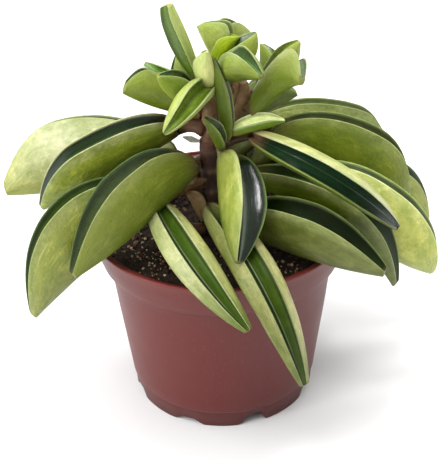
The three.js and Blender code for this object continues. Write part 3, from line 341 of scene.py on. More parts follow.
# name, leaf base, tip, petiole node, direction it leaves by, petiole radius, roll, depth, keel bow,
# side bow, peak, groove half width, bulge, twist, arch, petiole easing, bluntness of the tip
LEAVES = [
    dict(name='leaf_left_middle', B=(-10.82, -13.55, 120.72), T=(-61.82, -52.75, 92.99), A=(-9.0, -6.0, 120.5), d=(-1.0, -0.3, 0.1), r=1.9, roll=-0.142, H=25.76, kb=0.043, lb=-0.001, sp=0.423, G=5.23, W=7.0, tw=-0.076, ar=-0.009, ca=0.35, cb=0.4, bt=0.04),
    dict(name='leaf_right_long', B=(16.19, -11.54, 135.69), T=(76.96, -27.79, 98.68), A=(3.0, -6.5, 133.5), d=(1.0, -0.1, 0.3), r=1.8, roll=-1.132, H=18.68, kb=0.036, lb=0.083, sp=0.54, G=3.86, W=6.38, tw=-0.043, ar=0.213, ca=0.35, cb=0.4, bt=0.045),
    dict(name='leaf_front_centre', B=(1.4, -17.0, 128.12), T=(6.49, -60.1, 103.29), A=(0.5, -8.5, 136.0), d=(0.1, -1.0, 0.3), r=1.8, roll=0.765, H=17.81, kb=0.022, lb=0.009, sp=0.442, G=7.2, W=7.98, tw=0.189, ar=-0.059, ca=0.35, cb=0.4, bt=0.03),
    dict(name='leaf_front_hanging', B=(-3.94, -18.62, 101.97), T=(34.22, -73.83, 48.9), A=(-3.6, -9.0, 99.6), d=(0.0, -1.0, -0.1), r=1.9, roll=-0.209, H=9.11, kb=0.027, lb=-0.031, sp=0.459, G=3.92, W=9.16, tw=0.084, ar=0.258, ca=0.3, cb=0.15, bt=0.03),
    dict(name='leaf_front_left', B=(-27.35, -20.23, 105.39), T=(10.89, -74.75, 79.45), A=(-6.6, -8.6, 87.4), d=(-1.0, 0.05, 0.05), r=1.9, roll=-0.22, H=10.15, kb=0.009, lb=-0.063, sp=0.416, G=3.63, W=9.12, tw=0.296, ar=0.084, ca=0.8, cb=0.05, bt=0.02),
    dict(name='leaf_left_upper', B=(-19.22, 1.91, 132.49), T=(-79.02, -7.81, 99.91), A=(-6.3, -4.0, 136.8), d=(-1.0, 0.0, 0.45), r=2.6, roll=0.402, H=24.89, kb=0.049, lb=0.041, sp=0.531, G=3.43, W=7.0, tw=-0.059, ar=0.052, ca=0.35, cb=0.4, bt=0.03),
    dict(name='leaf_right_front', B=(8.66, -22.25, 96.37), T=(69.03, -51.29, 89.25), A=(-1.0, -6.5, 92.0), d=(1.0, -0.2, 0.2), r=1.8, roll=-0.007, H=22.92, kb=0.027, lb=-0.054, sp=0.456, G=6.15, W=7.0, tw=0.1, ar=0.012, ca=0.35, cb=0.4, bt=0.045),
    dict(name='leaf_left_lower', B=(-24.22, -12.66, 105.56), T=(-83.59, -32.81, 58.35), A=(-7.6, -5.0, 106.5), d=(-1.0, 0.0, 0.1), r=1.9, roll=0.05, H=31.59, kb=0.051, lb=0.12, sp=0.336, G=3.07, W=7.0, tw=-0.102, ar=0.155, ca=0.35, cb=0.4, bt=0.04),
    dict(name='leaf_right_inner', B=(13.77, 5.59, 104.07), T=(78.62, -17.35, 60.09), A=(-0.2, -2.0, 106.0), d=(1.0, 0.4, 0.15), r=1.8, roll=-0.436, H=24.8, kb=0.025, lb=-0.024, sp=0.491, G=4.0, W=7.0, tw=0.079, ar=0.256, ca=0.35, cb=0.4, bt=0.045),
    dict(name='leaf_right_outer', B=(35.64, -2.0, 105.87), T=(98.63, 4.51, 51.32), A=(-0.5, -1.0, 99.0), d=(1.0, 0.5, 0.1), r=1.9, roll=0.0, H=28.3, kb=0.02, lb=-0.12, sp=0.432, G=4.44, W=7.0, tw=0.5, ar=0.0, ca=0.35, cb=0.4, bt=0.04),
    dict(name='leaf_right_upper', B=(25.24, 11.0, 121.52), T=(87.3, 21.0, 81.98), A=(2.0, 0.0, 127.0), d=(1.0, 0.4, 0.1), r=1.8, roll=0.017, H=24.42, kb=0.03, lb=-0.055, sp=0.517, G=4.54, W=7.03, tw=0.45, ar=0.036, ca=0.35, cb=0.4, bt=0.04),
    dict(name='leaf_right_behind', B=(19.88, 33.0, 116.61), T=(81.47, 54.0, 84.94), A=(1.0, 2.0, 123.0), d=(1.0, 1.0, 0.1), r=1.8, roll=-0.129, H=22.71, kb=0.03, lb=-0.012, sp=0.565, G=2.43, W=7.11, tw=0.069, ar=0.022, ca=0.35, cb=0.4, bt=0.03),
    dict(name='leaf_right_far', B=(48.74, 32.55, 85.08), T=(102.13, 40.03, 59.03), A=(-1.0, 0.5, 93.0), d=(1.0, 0.9, 0.1), r=1.8, roll=-0.105, H=20.09, kb=0.025, lb=0.001, sp=0.498, G=3.91, W=7.0, tw=0.4, ar=0.069, ca=0.35, cb=0.4, bt=0.03),
    dict(name='leaf_left_back', B=(-21.41, 14.99, 110.19), T=(-100.1, 22.03, 89.4), A=(-8.5, 0.0, 113.0), d=(-1.0, 0.2, 0.1), r=1.8, roll=-0.337, H=24.49, kb=0.106, lb=0.024, sp=0.577, G=3.56, W=7.01, tw=0.051, ar=0.063, ca=0.35, cb=0.4, bt=0.05),
    dict(name='leaf_middle_left', B=(-3.55, -12.06, 161.0), T=(-22.33, -33.85, 150.65), A=(-6.0, -6.5, 152.0), d=(0.1, -1.0, 0.6), r=1.2, roll=0.808, H=11.73, kb=0.034, lb=-0.068, sp=0.481, G=3.62, W=5.89, tw=-0.254, ar=-0.007, ca=0.35, cb=0.4, bt=0.015),
    dict(name='leaf_crown_front_right', B=(3.88, -13.14, 163.43), T=(18.62, -28.7, 172.24), A=(5.5, -7.0, 156.0), d=(0.0, -1.0, 0.5), r=1.2, roll=-0.062, H=13.08, kb=0.033, lb=0.04, sp=0.494, G=3.49, W=6.92, tw=0.137, ar=0.02, ca=0.35, cb=0.4, bt=0.03),
    dict(name='leaf_side_large', B=(14.99, -10.71, 147.2), T=(33.6, -26.73, 168.08), A=(12.5, -5.0, 147.0), d=(0.7, -0.6, 0.1), r=1.4, roll=1.022, H=19.46, kb=0.014, lb=-0.015, sp=0.579, G=3.5, W=5.75, tw=-0.078, ar=0.125, ca=0.35, cb=0.4, bt=0.05),
    dict(name='leaf_crown_pale', B=(-0.95, -13.98, 158.52), T=(-3.4, -24.05, 182.3), A=(-3.5, -7.0, 156.0), d=(0.3, -1.0, 0.3), r=1.0, roll=-1.082, H=8.4, kb=0.031, lb=-0.016, sp=0.56, G=2.3, W=3.5, tw=0.039, ar=-0.052, ca=0.35, cb=0.4, bt=0.03),
    dict(name='leaf_middle_upright', B=(2.49, -13.5, 137.88), T=(-1.51, -21.0, 178.57), A=(3.0, -7.0, 131.5), d=(0.2, -1.0, 0.6), r=1.3, roll=1.361, H=5.6, kb=0.03, lb=0.0, sp=0.45, G=1.7, W=2.9, tw=0.0, ar=0.0, ca=0.35, cb=0.4, bt=0.03),
    dict(name='leaf_middle_right', B=(6.78, -14.0, 139.49), T=(28.75, -12.0, 143.59), A=(4.0, -9.0, 135.0), d=(0.3, -1.0, 0.4), r=1.1, roll=-0.209, H=5.6, kb=0.037, lb=0.0, sp=0.506, G=2.6, W=3.4, tw=0.071, ar=0.0, ca=0.35, cb=0.4, bt=0.02),
    dict(name='leaf_middle_small', B=(0.04, -17.0, 135.03), T=(-5.69, -22.0, 151.79), A=(0.0, -8.5, 131.0), d=(0.1, -1.0, 0.3), r=1.1, roll=0.96, H=5.4, kb=0.034, lb=0.023, sp=0.495, G=2.4, W=3.2, tw=-0.058, ar=-0.014, ca=0.35, cb=0.4, bt=0.015),
    dict(name='leaf_crown_tall', B=(-7.22, -7.0, 163.31), T=(-18.02, -4.0, 195.41), A=(-6.0, -5.5, 158.0), d=(-0.2, -1.0, 1.0), r=1.2, roll=2.147, H=5.6, kb=0.02, lb=0.0, sp=0.66, G=3.9, W=4.9, tw=0.1, ar=0.003, ca=0.35, cb=0.4, bt=0.16),
    dict(name='leaf_crown_left_outer', B=(-8.34, -0.56, 140.7), T=(-40.11, -8.4, 156.87), A=(-7.5, -3.0, 143.0), d=(-1.0, 0.0, 0.2), r=1.4, roll=-0.244, H=13.56, kb=0.024, lb=-0.03, sp=0.75, G=4.0, W=6.0, tw=0.033, ar=-0.025, ca=0.35, cb=0.4, bt=0.05),
    dict(name='leaf_crown_left_inner', B=(-10.66, -9.94, 149.07), T=(-24.21, -24.13, 171.72), A=(-8.0, -5.0, 147.0), d=(-0.6, -1.0, 0.3), r=1.2, roll=0.559, H=10.5, kb=0.031, lb=-0.059, sp=0.501, G=2.81, W=4.98, tw=0.131, ar=-0.073, ca=0.35, cb=0.4, bt=0.03),
    dict(name='leaf_crown_back_left', B=(-5.87, 17.07, 142.59), T=(-16.46, 16.85, 163.38), A=(-5.5, 0.0, 150.0), d=(-0.3, 1.0, 0.5), r=1.0, roll=2.633, H=10.07, kb=0.03, lb=-0.012, sp=0.474, G=1.87, W=5.12, tw=0.01, ar=0.003, ca=0.35, cb=0.4, bt=0.03),
    dict(name='leaf_crown_left_back', B=(-9.36, 9.94, 145.17), T=(-31.12, 8.14, 162.59), A=(-7.5, -3.0, 150.0), d=(-1.0, 0.6, 0.3), r=1.0, roll=1.127, H=9.86, kb=0.03, lb=0.014, sp=0.492, G=3.02, W=4.07, tw=-0.007, ar=0.021, ca=0.35, cb=0.4, bt=0.03),
    dict(name='leaf_crown_top_right', B=(3.8, -2.7, 164.23), T=(17.19, -4.77, 181.07), A=(5.6, -5.4, 158.5), d=(0.2, -0.6, 1.0), r=0.9, roll=-0.043, H=8.54, kb=0.122, lb=-0.001, sp=0.395, G=3.55, W=4.65, tw=0.313, ar=-0.16, ca=0.35, cb=0.4, bt=0.03),
    dict(name='leaf_crown_bud', B=(0.57, -2.95, 165.46), T=(9.91, -1.2, 177.82), A=(4.7, -3.8, 161.5), d=(-0.1, 0.0, 1.0), r=0.9, roll=0.275, H=6.98, kb=0.03, lb=0.005, sp=0.57, G=3.33, W=4.53, tw=-0.014, ar=0.011, ca=0.35, cb=0.4, bt=0.05),
    dict(name='leaf_crown_top', B=(-0.96, 3.0, 166.22), T=(-8.0, 7.0, 179.82), A=(-4.5, -3.5, 160.5), d=(0.1, 0.3, 1.0), r=1.2, roll=-0.244, H=13.5, kb=0.03, lb=0.0, sp=0.62, G=2.6, W=4.6, tw=0.05, ar=0.0, ca=0.35, cb=0.4, bt=0.05),
    dict(name='leaf_crown_top_back', B=(2.34, 7.6, 162.61), T=(15.5, 19.03, 169.6), A=(4.6, -1.8, 158.0), d=(-0.2, 0.8, 1.0), r=1.0, roll=0.0, H=15.01, kb=0.03, lb=-0.003, sp=0.45, G=3.4, W=4.4, tw=-0.01, ar=0.033, ca=0.35, cb=0.4, bt=0.03),
    dict(name='leaf_side_top', B=(20.18, 10.09, 147.1), T=(36.18, 8.79, 170.49), A=(14.0, -2.5, 149.0), d=(0.6, 0.2, 0.6), r=1.1, roll=-0.282, H=10.27, kb=0.039, lb=0.004, sp=0.566, G=2.87, W=5.07, tw=-0.028, ar=-0.16, ca=0.35, cb=0.4, bt=0.03),
    dict(name='leaf_side_back', B=(20.31, 18.97, 142.1), T=(19.73, 27.06, 161.82), A=(12.0, 0.0, 150.0), d=(0.5, 1.0, 0.5), r=1.0, roll=-0.761, H=10.22, kb=0.035, lb=-0.001, sp=0.541, G=3.0, W=4.53, tw=0.044, ar=0.025, ca=0.35, cb=0.4, bt=0.03),
    dict(name='leaf_side_under', B=(12.83, 16.04, 130.62), T=(36.03, 15.9, 141.38), A=(9.0, 0.5, 140.0), d=(0.5, 0.8, 0.1), r=1.2, roll=0.225, H=15.01, kb=0.039, lb=0.005, sp=0.54, G=3.24, W=5.13, tw=-0.028, ar=-0.005, ca=0.35, cb=0.4, bt=0.03),
    dict(name='leaf_back_left', B=(-28.82, 30.0, 95.42), T=(-67.79, 58.0, 70.79), A=(-7.0, 1.0, 110.0), d=(-1.0, 1.0, 0.1), r=1.8, roll=0.0, H=21.0, kb=0.04, lb=0.0, sp=0.52, G=4.2, W=6.8, tw=0.1, ar=0.03, ca=0.35, cb=0.4, bt=0.03),
    dict(name='leaf_back_left_inner', B=(-16.47, 24.0, 95.33), T=(-45.48, 66.0, 64.13), A=(-6.0, 2.0, 116.0), d=(-0.7, 1.0, 0.1), r=1.8, roll=0.0, H=17.0, kb=0.04, lb=0.0, sp=0.52, G=4.2, W=6.8, tw=0.1, ar=0.03, ca=0.35, cb=0.4, bt=0.03),
    dict(name='leaf_back_upper_left', B=(-5.77, 18.0, 127.96), T=(-13.39, 62.0, 110.05), A=(-4.0, 2.5, 129.0), d=(-0.2, 1.0, 0.2), r=1.8, roll=0.0, H=19.0, kb=0.04, lb=0.0, sp=0.52, G=4.2, W=6.8, tw=0.1, ar=0.03, ca=0.35, cb=0.4, bt=0.03),
    dict(name='leaf_back_upper_right', B=(2.42, 16.0, 109.12), T=(24.6, 62.0, 90.03), A=(-1.0, 2.0, 124.0), d=(0.3, 1.0, 0.1), r=1.8, roll=0.0, H=21.0, kb=0.04, lb=0.0, sp=0.52, G=4.2, W=6.8, tw=0.1, ar=0.03, ca=0.35, cb=0.4, bt=0.03),
    dict(name='leaf_back_right', B=(14.64, 28.0, 99.16), T=(40.55, 76.0, 73.53), A=(-1.0, 1.5, 117.0), d=(0.6, 1.0, 0.1), r=1.8, roll=0.0, H=19.0, kb=0.04, lb=0.0, sp=0.52, G=4.2, W=6.8, tw=0.1, ar=0.03, ca=0.35, cb=0.4, bt=0.03),
    dict(name='leaf_back_right_low', B=(26.89, 28.0, 85.08), T=(59.86, 58.0, 57.66), A=(-1.0, 1.0, 108.0), d=(0.8, 1.0, 0.1), r=1.8, roll=0.0, H=20.0, kb=0.04, lb=0.0, sp=0.52, G=4.2, W=6.8, tw=0.1, ar=0.03, ca=0.35, cb=0.4, bt=0.03),
    dict(name='leaf_back_left_low', B=(-24.99, 20.0, 91.42), T=(-61.29, 48.0, 54.4), A=(-6.5, 1.0, 104.0), d=(-0.8, 1.0, 0.1), r=1.8, roll=0.0, H=21.0, kb=0.04, lb=0.0, sp=0.52, G=4.2, W=6.8, tw=0.1, ar=0.03, ca=0.35, cb=0.4, bt=0.03),
    dict(name='withered_leaf', B=(-14.4, -9.0, 107.14), T=(-8.39, -10.5, 92.68), A=(-7.2, -6.5, 109.5), d=(-1.0, -0.6, 0.0), r=0.9, roll=0.4, H=6.0, kb=0.02, lb=0.0, sp=0.4, G=0.5, W=1.0, tw=0.2, ar=0.0, ca=0.35, cb=0.4, bt=0.0),
]
# ---------------------------------------------------------------- leaf looks
# sRGB: o = face by the rim, k = face by the keel, t = towards the tip, o2/k2 = the other face,
# g = groove, m = groove midline, r = rim line. y > 0 is the first face.
# From o down to k is partly the leaf's own pale margin and partly painted light: lighter at the top of
# each face, painted shade towards the keel. m is a painted highlight along the groove's floor, r is partly
# the pale margin and partly a painted highlight on the rounded rim.
EXPO = 0.50  # the tints are written as they look lit; this takes the light back out
BASE = dict(o=(158, 168, 66), k=(112, 124, 44), t=(150, 158, 70), g=(50, 74, 38), m=(112, 138, 74), r=(206, 216, 150), p=(150, 150, 82))
# young crown leaves: their own lighter green, partly raised as painted light for the top of the plant, which stands
# nearest the lamps
YOUNG_AND_LIT = dict(o=(164, 186, 74), k=(120, 142, 44), t=(156, 176, 70), g=(84, 118, 46), m=(150, 176, 98), r=(216, 228, 160), p=(150, 130, 80))
LOOK = {
    "leaf_left_back": dict(o=(252, 252, 208), k=(158, 163, 85), t=(194, 200, 100), tm=0.75, ts=0.5, g=(84, 102, 84), m=(128, 154, 92)),
    "leaf_left_upper": dict(o=(182, 198, 62), k=(178, 192, 84), t=(186, 200, 72), g=(46, 74, 36), m=(178, 192, 120), pp=(112, 70, 52), p=(120, 96, 62), r=(250, 250, 200)),
    "leaf_left_middle": dict(o=(158, 171, 54), k=(136, 152, 52), t=(158, 172, 68), g=(64, 82, 30), r=(200, 204, 142), m=(164, 182, 74), r2=(110, 136, 84)),
    "leaf_left_lower": dict(o=(176, 184, 80), k=(158, 168, 78), t=(174, 180, 88), g=(62, 82, 26), m=(122, 146, 48), p=(160, 122, 80), pp=(120, 84, 56), matt=1, r2=(110, 136, 84)),
    "leaf_front_left": dict(o=(228, 230, 146), k=(150, 164, 74), t=(120, 140, 46), tm=0.85, ts=0.62, g=(78, 106, 26), gd=(40, 60, 30), m=(196, 206, 168), line=(-1, 2.5), r=(232, 234, 176), o2=(192, 198, 138), k2=(166, 180, 90), matt=1),
    "leaf_front_hanging": dict(o=(252, 246, 172), k=(176, 178, 96), t=(120, 138, 50), tm=0.7, ts=0.66, g=(76, 100, 24), gd=(40, 58, 28), m=(176, 190, 150), line=(-1, 2.62), r=(196, 198, 134), o2=(154, 158, 86), k2=(126, 134, 64), matt=1),
    "leaf_front_centre": dict(o=(196, 206, 104), k=(112, 124, 42), t=(118, 132, 48), g=(32, 48, 30), m=(170, 186, 160), r=(140, 164, 92), r2=(236, 240, 180), o2=(186, 196, 92), k2=(112, 124, 42)),
    "leaf_right_long": dict(o=(218, 222, 134), k=(176, 186, 84), t=(172, 184, 90), g=(34, 62, 36), m=(50, 76, 46), r=(238, 242, 190), o2=(104, 124, 42), k2=(112, 126, 48), p=(160, 120, 90), r2=(150, 166, 84)),
    "leaf_right_front": dict(o=(126, 134, 56), k=(120, 126, 66), t=(136, 146, 72), g=(38, 56, 18), m=(64, 84, 34), matt=1, r2=(222, 230, 160), r=(160, 180, 106)),
    "leaf_right_inner": dict(o=(110, 126, 28), k=(130, 150, 34), t=(108, 126, 32), g=(50, 70, 28), m=(88, 122, 48), matt=1, r2=(222, 230, 160), r=(160, 180, 106)),
    # gain 1.8 and the pale upper face: painted light on a face that the leaves above shade from the lamps
    "leaf_right_outer": dict(o=(255, 252, 196), k=(156, 164, 74), t=(168, 176, 72), tm=0.8, ts=0.3, g=(84, 100, 56), m=(130, 148, 92), o2=(204, 206, 106), k2=(150, 160, 74), r2=(236, 240, 180), gain=1.8, r=(160, 176, 100)),
    "leaf_right_upper": dict(o=(160, 176, 42), k=(150, 172, 48), t=(148, 160, 40), g=(90, 100, 50), m=(166, 204, 86), matt=1, r2=(222, 230, 160), r=(160, 180, 106)),
    "leaf_right_behind": dict(o=(204, 218, 122), k=(154, 170, 82), g=(132, 150, 72), t=(190, 196, 102), m=(164, 184, 94)),
    "leaf_right_far": dict(o=(226, 232, 128), k=(126, 146, 44), g=(56, 74, 46), t=(202, 210, 100), r2=(222, 230, 160), r=(160, 180, 106)),
    "leaf_crown_tall": dict(o=(206, 222, 124), k=(200, 216, 112), o2=(206, 222, 124), k2=(200, 216, 112), t=(216, 228, 140), g=(112, 146, 40), m=(96, 128, 34), r=(120, 146, 60), r2=(216, 226, 150)),
    # the pale tints and gain: partly this young leaf's own pale colour, partly painted light passing through it
    "leaf_crown_pale": dict(o=(226, 238, 150), k=(250, 252, 164), t=(226, 238, 150), gain=1.05),
    "leaf_crown_bud": dict(o=(188, 212, 28), k=(210, 240, 48), t=(188, 212, 34), g=(150, 176, 50), r=(226, 236, 120)),
    "leaf_crown_top": dict(o=(200, 216, 116), k=(212, 228, 106), t=(186, 204, 98), g=(164, 190, 110), m=(204, 228, 134)),
    "leaf_crown_top_back": dict(o=(212, 228, 102), k=(178, 196, 76), g=(120, 142, 82), m=(150, 170, 110), t=(184, 206, 70)),
    "leaf_crown_top_right": dict(o=(200, 216, 94), k=(196, 216, 70), g=(130, 152, 108), m=(182, 202, 146), t=(208, 226, 106)),
    "leaf_crown_front_right": dict(o=(164, 182, 74), k=(88, 106, 24), g=(76, 114, 40), m=(146, 178, 82), t=(148, 168, 56)),
    "leaf_crown_left_outer": dict(o=(164, 180, 72), k=(124, 144, 32), g=(74, 98, 46), t=(170, 188, 82)),
    "leaf_crown_left_inner": dict(o=(168, 192, 76), k=(178, 198, 78), g=(92, 126, 70), t=(160, 186, 62), m=(220, 252, 146)),
    "leaf_crown_back_left": dict(o=(176, 192, 100), k=(130, 150, 56), g=(80, 104, 50)),
    "leaf_side_large": dict(o=(180, 190, 100), k=(132, 152, 48), t=(146, 160, 72), g=(102, 130, 72), m=(128, 156, 94)),
    "leaf_side_top": dict(o=(250, 252, 142), k=(186, 202, 82), g=(164, 188, 58), m=(192, 216, 78), t=(206, 224, 94)),
    "leaf_side_back": dict(o=(150, 170, 66), k=(114, 138, 24), g=(104, 130, 46), m=(120, 146, 60)),
    "leaf_side_under": dict(o=(142, 164, 82), k=(178, 194, 130), t=(142, 164, 78), g=(110, 126, 96)),
    "leaf_middle_left": dict(o=(210, 224, 126), k=(148, 164, 70), t=(184, 200, 106), g=(132, 160, 46), m=(112, 138, 40), r=(220, 230, 164)),
    "leaf_middle_upright": dict(o=(112, 134, 26), k=(106, 124, 18), t=(126, 150, 38), g=(54, 78, 18), r=(190, 204, 124), m=(180, 214, 66)),
    # the pale groove and gain 2.0: painted light, for a groove lit from above that the leaves over it shade from the
    # lamps
    "leaf_middle_right": dict(o=(96, 126, 30), k=(132, 152, 56), t=(120, 154, 50), g=(238, 252, 168), m=(228, 244, 150), r=(236, 242, 190), gain=2.0),
    "leaf_middle_small": dict(o=(104, 126, 30), k=(126, 138, 46), g=(64, 92, 20), m=(86, 116, 28), r=(206, 218, 140), t=(132, 156, 46)),
    "withered_leaf": dict(o=(210, 178, 130), k=(196, 160, 112), t=(190, 154, 110), g=(150, 120, 84), m=(140, 112, 76), r=(186, 160, 116), p=(150, 112, 72), gain=1.15),
    "leaf_crown_left_back": dict(g=(126, 174, 72), m=(220, 252, 146)),
    "leaf_back_left": dict(),
    "leaf_back_left_inner": dict(),
    "leaf_back_upper_left": dict(),
    "leaf_back_upper_right": dict(),
    "leaf_back_right": dict(),
    "leaf_back_right_low": dict(),
    "leaf_back_left_low": dict(),
}


def hm(s, sp):
    a = np.clip((sp - s) / sp, 0, 1)
    b = np.clip((s - sp) / (1 - sp), 0, 1)
    return np.where(s < sp, np.sqrt(np.clip(1 - a ** 2.2, 0, 1)), np.clip(1 - b * b, 0, 1))


def wid(s):
    return np.sin(np.pi * np.clip(s, 0, 1) ** 0.78).clip(0, 1) ** 0.62


def bezier(a, b, c, d, t):
    u = 1 - t
    return u ** 3 * a + 3 * u * u * t * b + 3 * u * t * t * c + t ** 3 * d


LOW, HIGH = (np.array(p, float) / MM * (1 - 0.0004) for p in first_bounds)
LOW[2] = 0.0
NO, NR, NG = 11, 4, 8  # points up one face, over the rim, down one side of the groove


def half_section(k, w, g, zk, h, dep):
    """One half of the section as (y, z, place across 0..3): face 0..1, rim 1..2, groove 2..3."""
    pts = []
    ctrl = np.array([(-0.8 * w, 0.22), (0, 0), (0.8 * w, 0.22), (w, 0.6), (g + 0.50 * k, 0.985), (g, 1.25)])
    seg = [1, 2, 3]
    for i in range(NO):
        u = (i + 1) / NO * 3 * 0.9999
        j = seg[min(2, int(u))]
        f = u - int(u)
        p0, p1, p2, p3 = ctrl[j - 1], ctrl[j], ctrl[j + 1], ctrl[j + 2]
        p = 0.5 * ((2 * p1) + (p2 - p0) * f + (2 * p0 - 5 * p1 + 4 * p2 - p3) * f * f + (3 * p1 - p0 - 3 * p2 + p3) * f ** 3)
        pts.append((p[0], zk + (h - zk) * p[1], (i + 1) / NO))
    bead = 0.21 * k
    yc = g + 0.27 * k
    hz = h - bead * 0.9
    for i in range(NR):
        a = math.radians(10 + 160 * (i + 0.5) / NR)
        pts.append((yc + bead * math.cos(a), hz + bead * math.sin(a), 1 + (i + 0.5) / NR))
    for i in range(NG):
        f = 0.02 if i == 0 else (i - 0.4) / (NG - 0.8)
        y = g * (1 - f)
        z = hz - bead * 0.1 - (dep - bead) * f ** 0.68
        pts.append((y, z, 2 + f))
    return pts


def leaf(L):
    look = dict(YOUNG_AND_LIT if ("crown" in L["name"] or "middle" in L["name"] or "side" in L["name"]) else BASE)
    look.update(LOOK.get(L["name"], {}))
    stem_tint = look.get("pp", (120, 76, 58))
    B, T, A = (np.array(L[k], float) for k in "BTA")
    ex = T - B
    ln = np.linalg.norm(ex)
    ex = ex / ln
    up = np.array([0, 0, 1.0])
    ez0 = norm(up - ex * up.dot(ex))
    ey0 = np.cross(ez0, ex)
    ez1 = math.cos(L["roll"]) * ez0 + math.sin(L["roll"]) * ey0
    ey1 = np.cross(ez1, ex)
    seed = (sum(map(ord, L["name"])) % 97) * 3.1
    ns = 46
    u = np.linspace(0, 1, ns)
    ss = 0.5 * u + 0.5 * (0.5 - 0.5 * np.cos(np.pi * u))
    ss = np.clip(ss, 0, 0.991)
    rings, cs, ann = [], [], []
    first_z = None
    for s in ss:
        q = 4 * s * (1 - s)
        tw = L["tw"] * (s - 0.35)
        ey = math.cos(tw) * ey1 + math.sin(tw) * ez1
        ez = math.cos(tw) * ez1 - math.sin(tw) * ey1
        if first_z is None:
            first_z = ez
        cen = B + ex * s * ln + ez1 * L["ar"] * ln * q + ey1 * L["lb"] * ln * q
        sb = s * (1 - L["bt"])
        k = float(wid(sb))
        wob = 0.975 + 0.035 * float(noise(np.array([s * 5.0, seed, 0.3]), 2))
        wob2 = 1 + 0.05 * float(noise(np.array([s * 6.0, seed, 7.3]), 2))
        zk = -L["kb"] * ln * q
        h = L["H"] * float(hm(sb, L["sp"])) * (1 + (wob - 1) * 0.5)
        g = L["G"] * k * wob2
        w = max(L["W"] * k * wob, g + 0.5 * k)
        dep = min(0.36 * (h - zk), 1.15 * g + 1.0)
        core = L["r"] * max(0, 1 - s / 0.35) ** 1.5 + 0.12
        lobe = 0.05 * ln * (1 - s) ** 8
        half = half_section(k, w, g, zk, h, dep)
        ring = [(0.0, zk, 0.0, 0.0)] + [(y, z, c, 1.0) for y, z, c in half]
        ring += [(0.0, h - dep, 3.0, 0.0)] + [(-y, z, c, -1.0) for y, z, c in reversed(half)]
        pts, info = [], []
        for y, z, c, side in ring:
            frac = (z - zk) / max(h - zk, 1e-6)
            if c <= 1:
                ang = np.interp(c, [0, 0.33, 0.66, 1], [-90, -35, 10, 55])
            else:
                ang = np.interp(c, [1, 2, 3], [55, 72, 90])
            deep = 1.0 if c <= 1.5 else float(np.interp(c, [1.5, 2.0, 3.0], [1.0, 0.75, 0.3]))
            deep = deep + (1 - deep) * max(0, 1 - s / 0.05)
            r = core * deep
            ca = math.cos(math.radians(ang)) * (1 if side >= 0 else -1)
            sa = math.sin(math.radians(ang))
            back = float(np.interp(c, [0, 0.33, 0.66, 1, 2, 3], [0, 0.2, 0.6, 1, 0.9, 0.5]))
            p = cen + ey * (y + r * ca) + ez * (z + r * sa) - ex * lobe * back
            pts.append(p)
            info.append((s, c, side, w, h - zk))
        rings.append(pts)
        cs.append(info)
    n = len(rings[0])
    # the stalk, from the node on the stem to the blade
    reach = np.linalg.norm(B - A)
    c1 = A + norm(np.array(L["d"], float)) * reach * L["ca"]
    c2 = B - ex * reach * L["cb"]
    steps = 14
    stalk, sinfo = [], []
    ref = first_z
    angs = []
    for (s, c, side, w, hh) in cs[0]:
        a = np.interp(c, [0, 0.33, 0.66, 1, 2, 3], [-90, -35, 10, 55, 72, 90])
        angs.append(math.radians(a if side >= 0 else 180 - a))
    for i in range(steps - 1, -1, -1):
        t = i / steps
        p = bezier(A, c1, c2, B, t)
        x = norm(bezier(A, c1, c2, B, t + 0.01) - bezier(A, c1, c2, B, t - 0.01))
        z = norm(ref - x * ref.dot(x))
        y = np.cross(z, x)
        ref = z
        r = L["r"] * (1 + 0.25 * (1 - t)) * (1 + 0.25 * max(0, 1 - t * 5)) * (1 + 0.05 * float(noise(np.array([t * 4, seed, 3.0]), 2)))
        stalk.insert(0, [p + y * r * math.cos(a) + z * r * math.sin(a) for a in angs])
        sinfo.insert(0, [(-(1 - t), c, side, 0, 0) for (_, c, side, _, _) in cs[0]])
    # the tip is rounded off
    last = np.array(rings[-1])
    middle = last.mean(axis=0)
    round_len = min(0.40, 0.45 * float(np.linalg.norm(last - middle, axis=1).mean()), max(0.06, float((T - middle).dot(ex)) - 0.12))
    for deg in (28, 52, 72):
        a = math.radians(deg)
        rings.append([middle + (p - middle) * math.cos(a) + ex * round_len * math.sin(a) for p in last])
        cs.append(cs[-1])
    rings = stalk + rings
    cs = sinfo + cs
    nr = len(rings)
    V = np.array([p for r in rings for p in r] + [np.mean(rings[0], axis=0), middle + ex * round_len])
    V = np.clip(V, LOW, HIGH)  # the swollen faces stay inside the size of the part
    info = np.array([i for r in cs for i in r] + [(-1, 0, 0, 0, 0), (1, 1, 0, 0, 0)])
    s, c, side = info[:, 0], info[:, 1], info[:, 2]
    o1, k1, t1, g1, m1, r1, p1 = (lin(look[x]) for x in "oktgmrp")
    o2, k2 = lin(look.get("o2", look["o"])), lin(look.get("k2", look["k"]))
    sd = (side >= 0)[:, None]
    oo = np.where(sd, o1, o2)
    kk = np.where(sd, k1, k2)
    cc = np.clip(c, 0, 1)[:, None]
    wav = noise(np.stack([s * 4, c * 2 + seed, side + 4], -1), 3)[:, None]
    # face colour from k by the keel to o by the rim: partly the pale margin, partly painted light from above and
    # painted shade towards the keel
    face = kk + (oo - kk) * smooth01((cc - 0.12 + 0.14 * wav) / 0.8)
    # towards the rim each face takes on the rim colour: partly the pale margin, partly a painted highlight where the
    # face rounds over
    edge = smooth01((cc - 0.80) / 0.2)
    face = face + (np.where(sd, r1, lin(look.get("r2", look["r"]))) - face) * edge * 0.45
    ts = look.get("ts", 0.55)
    tip = smooth01((s[:, None] - ts) / (1 - ts))
    face = face + (t1 - face) * tip * look.get("tm", 0.6)
    groove = g1 * (1 + 0.25 * noise(np.stack([s * 7, c * 3 + seed, side + 9], -1), 2)[:, None])
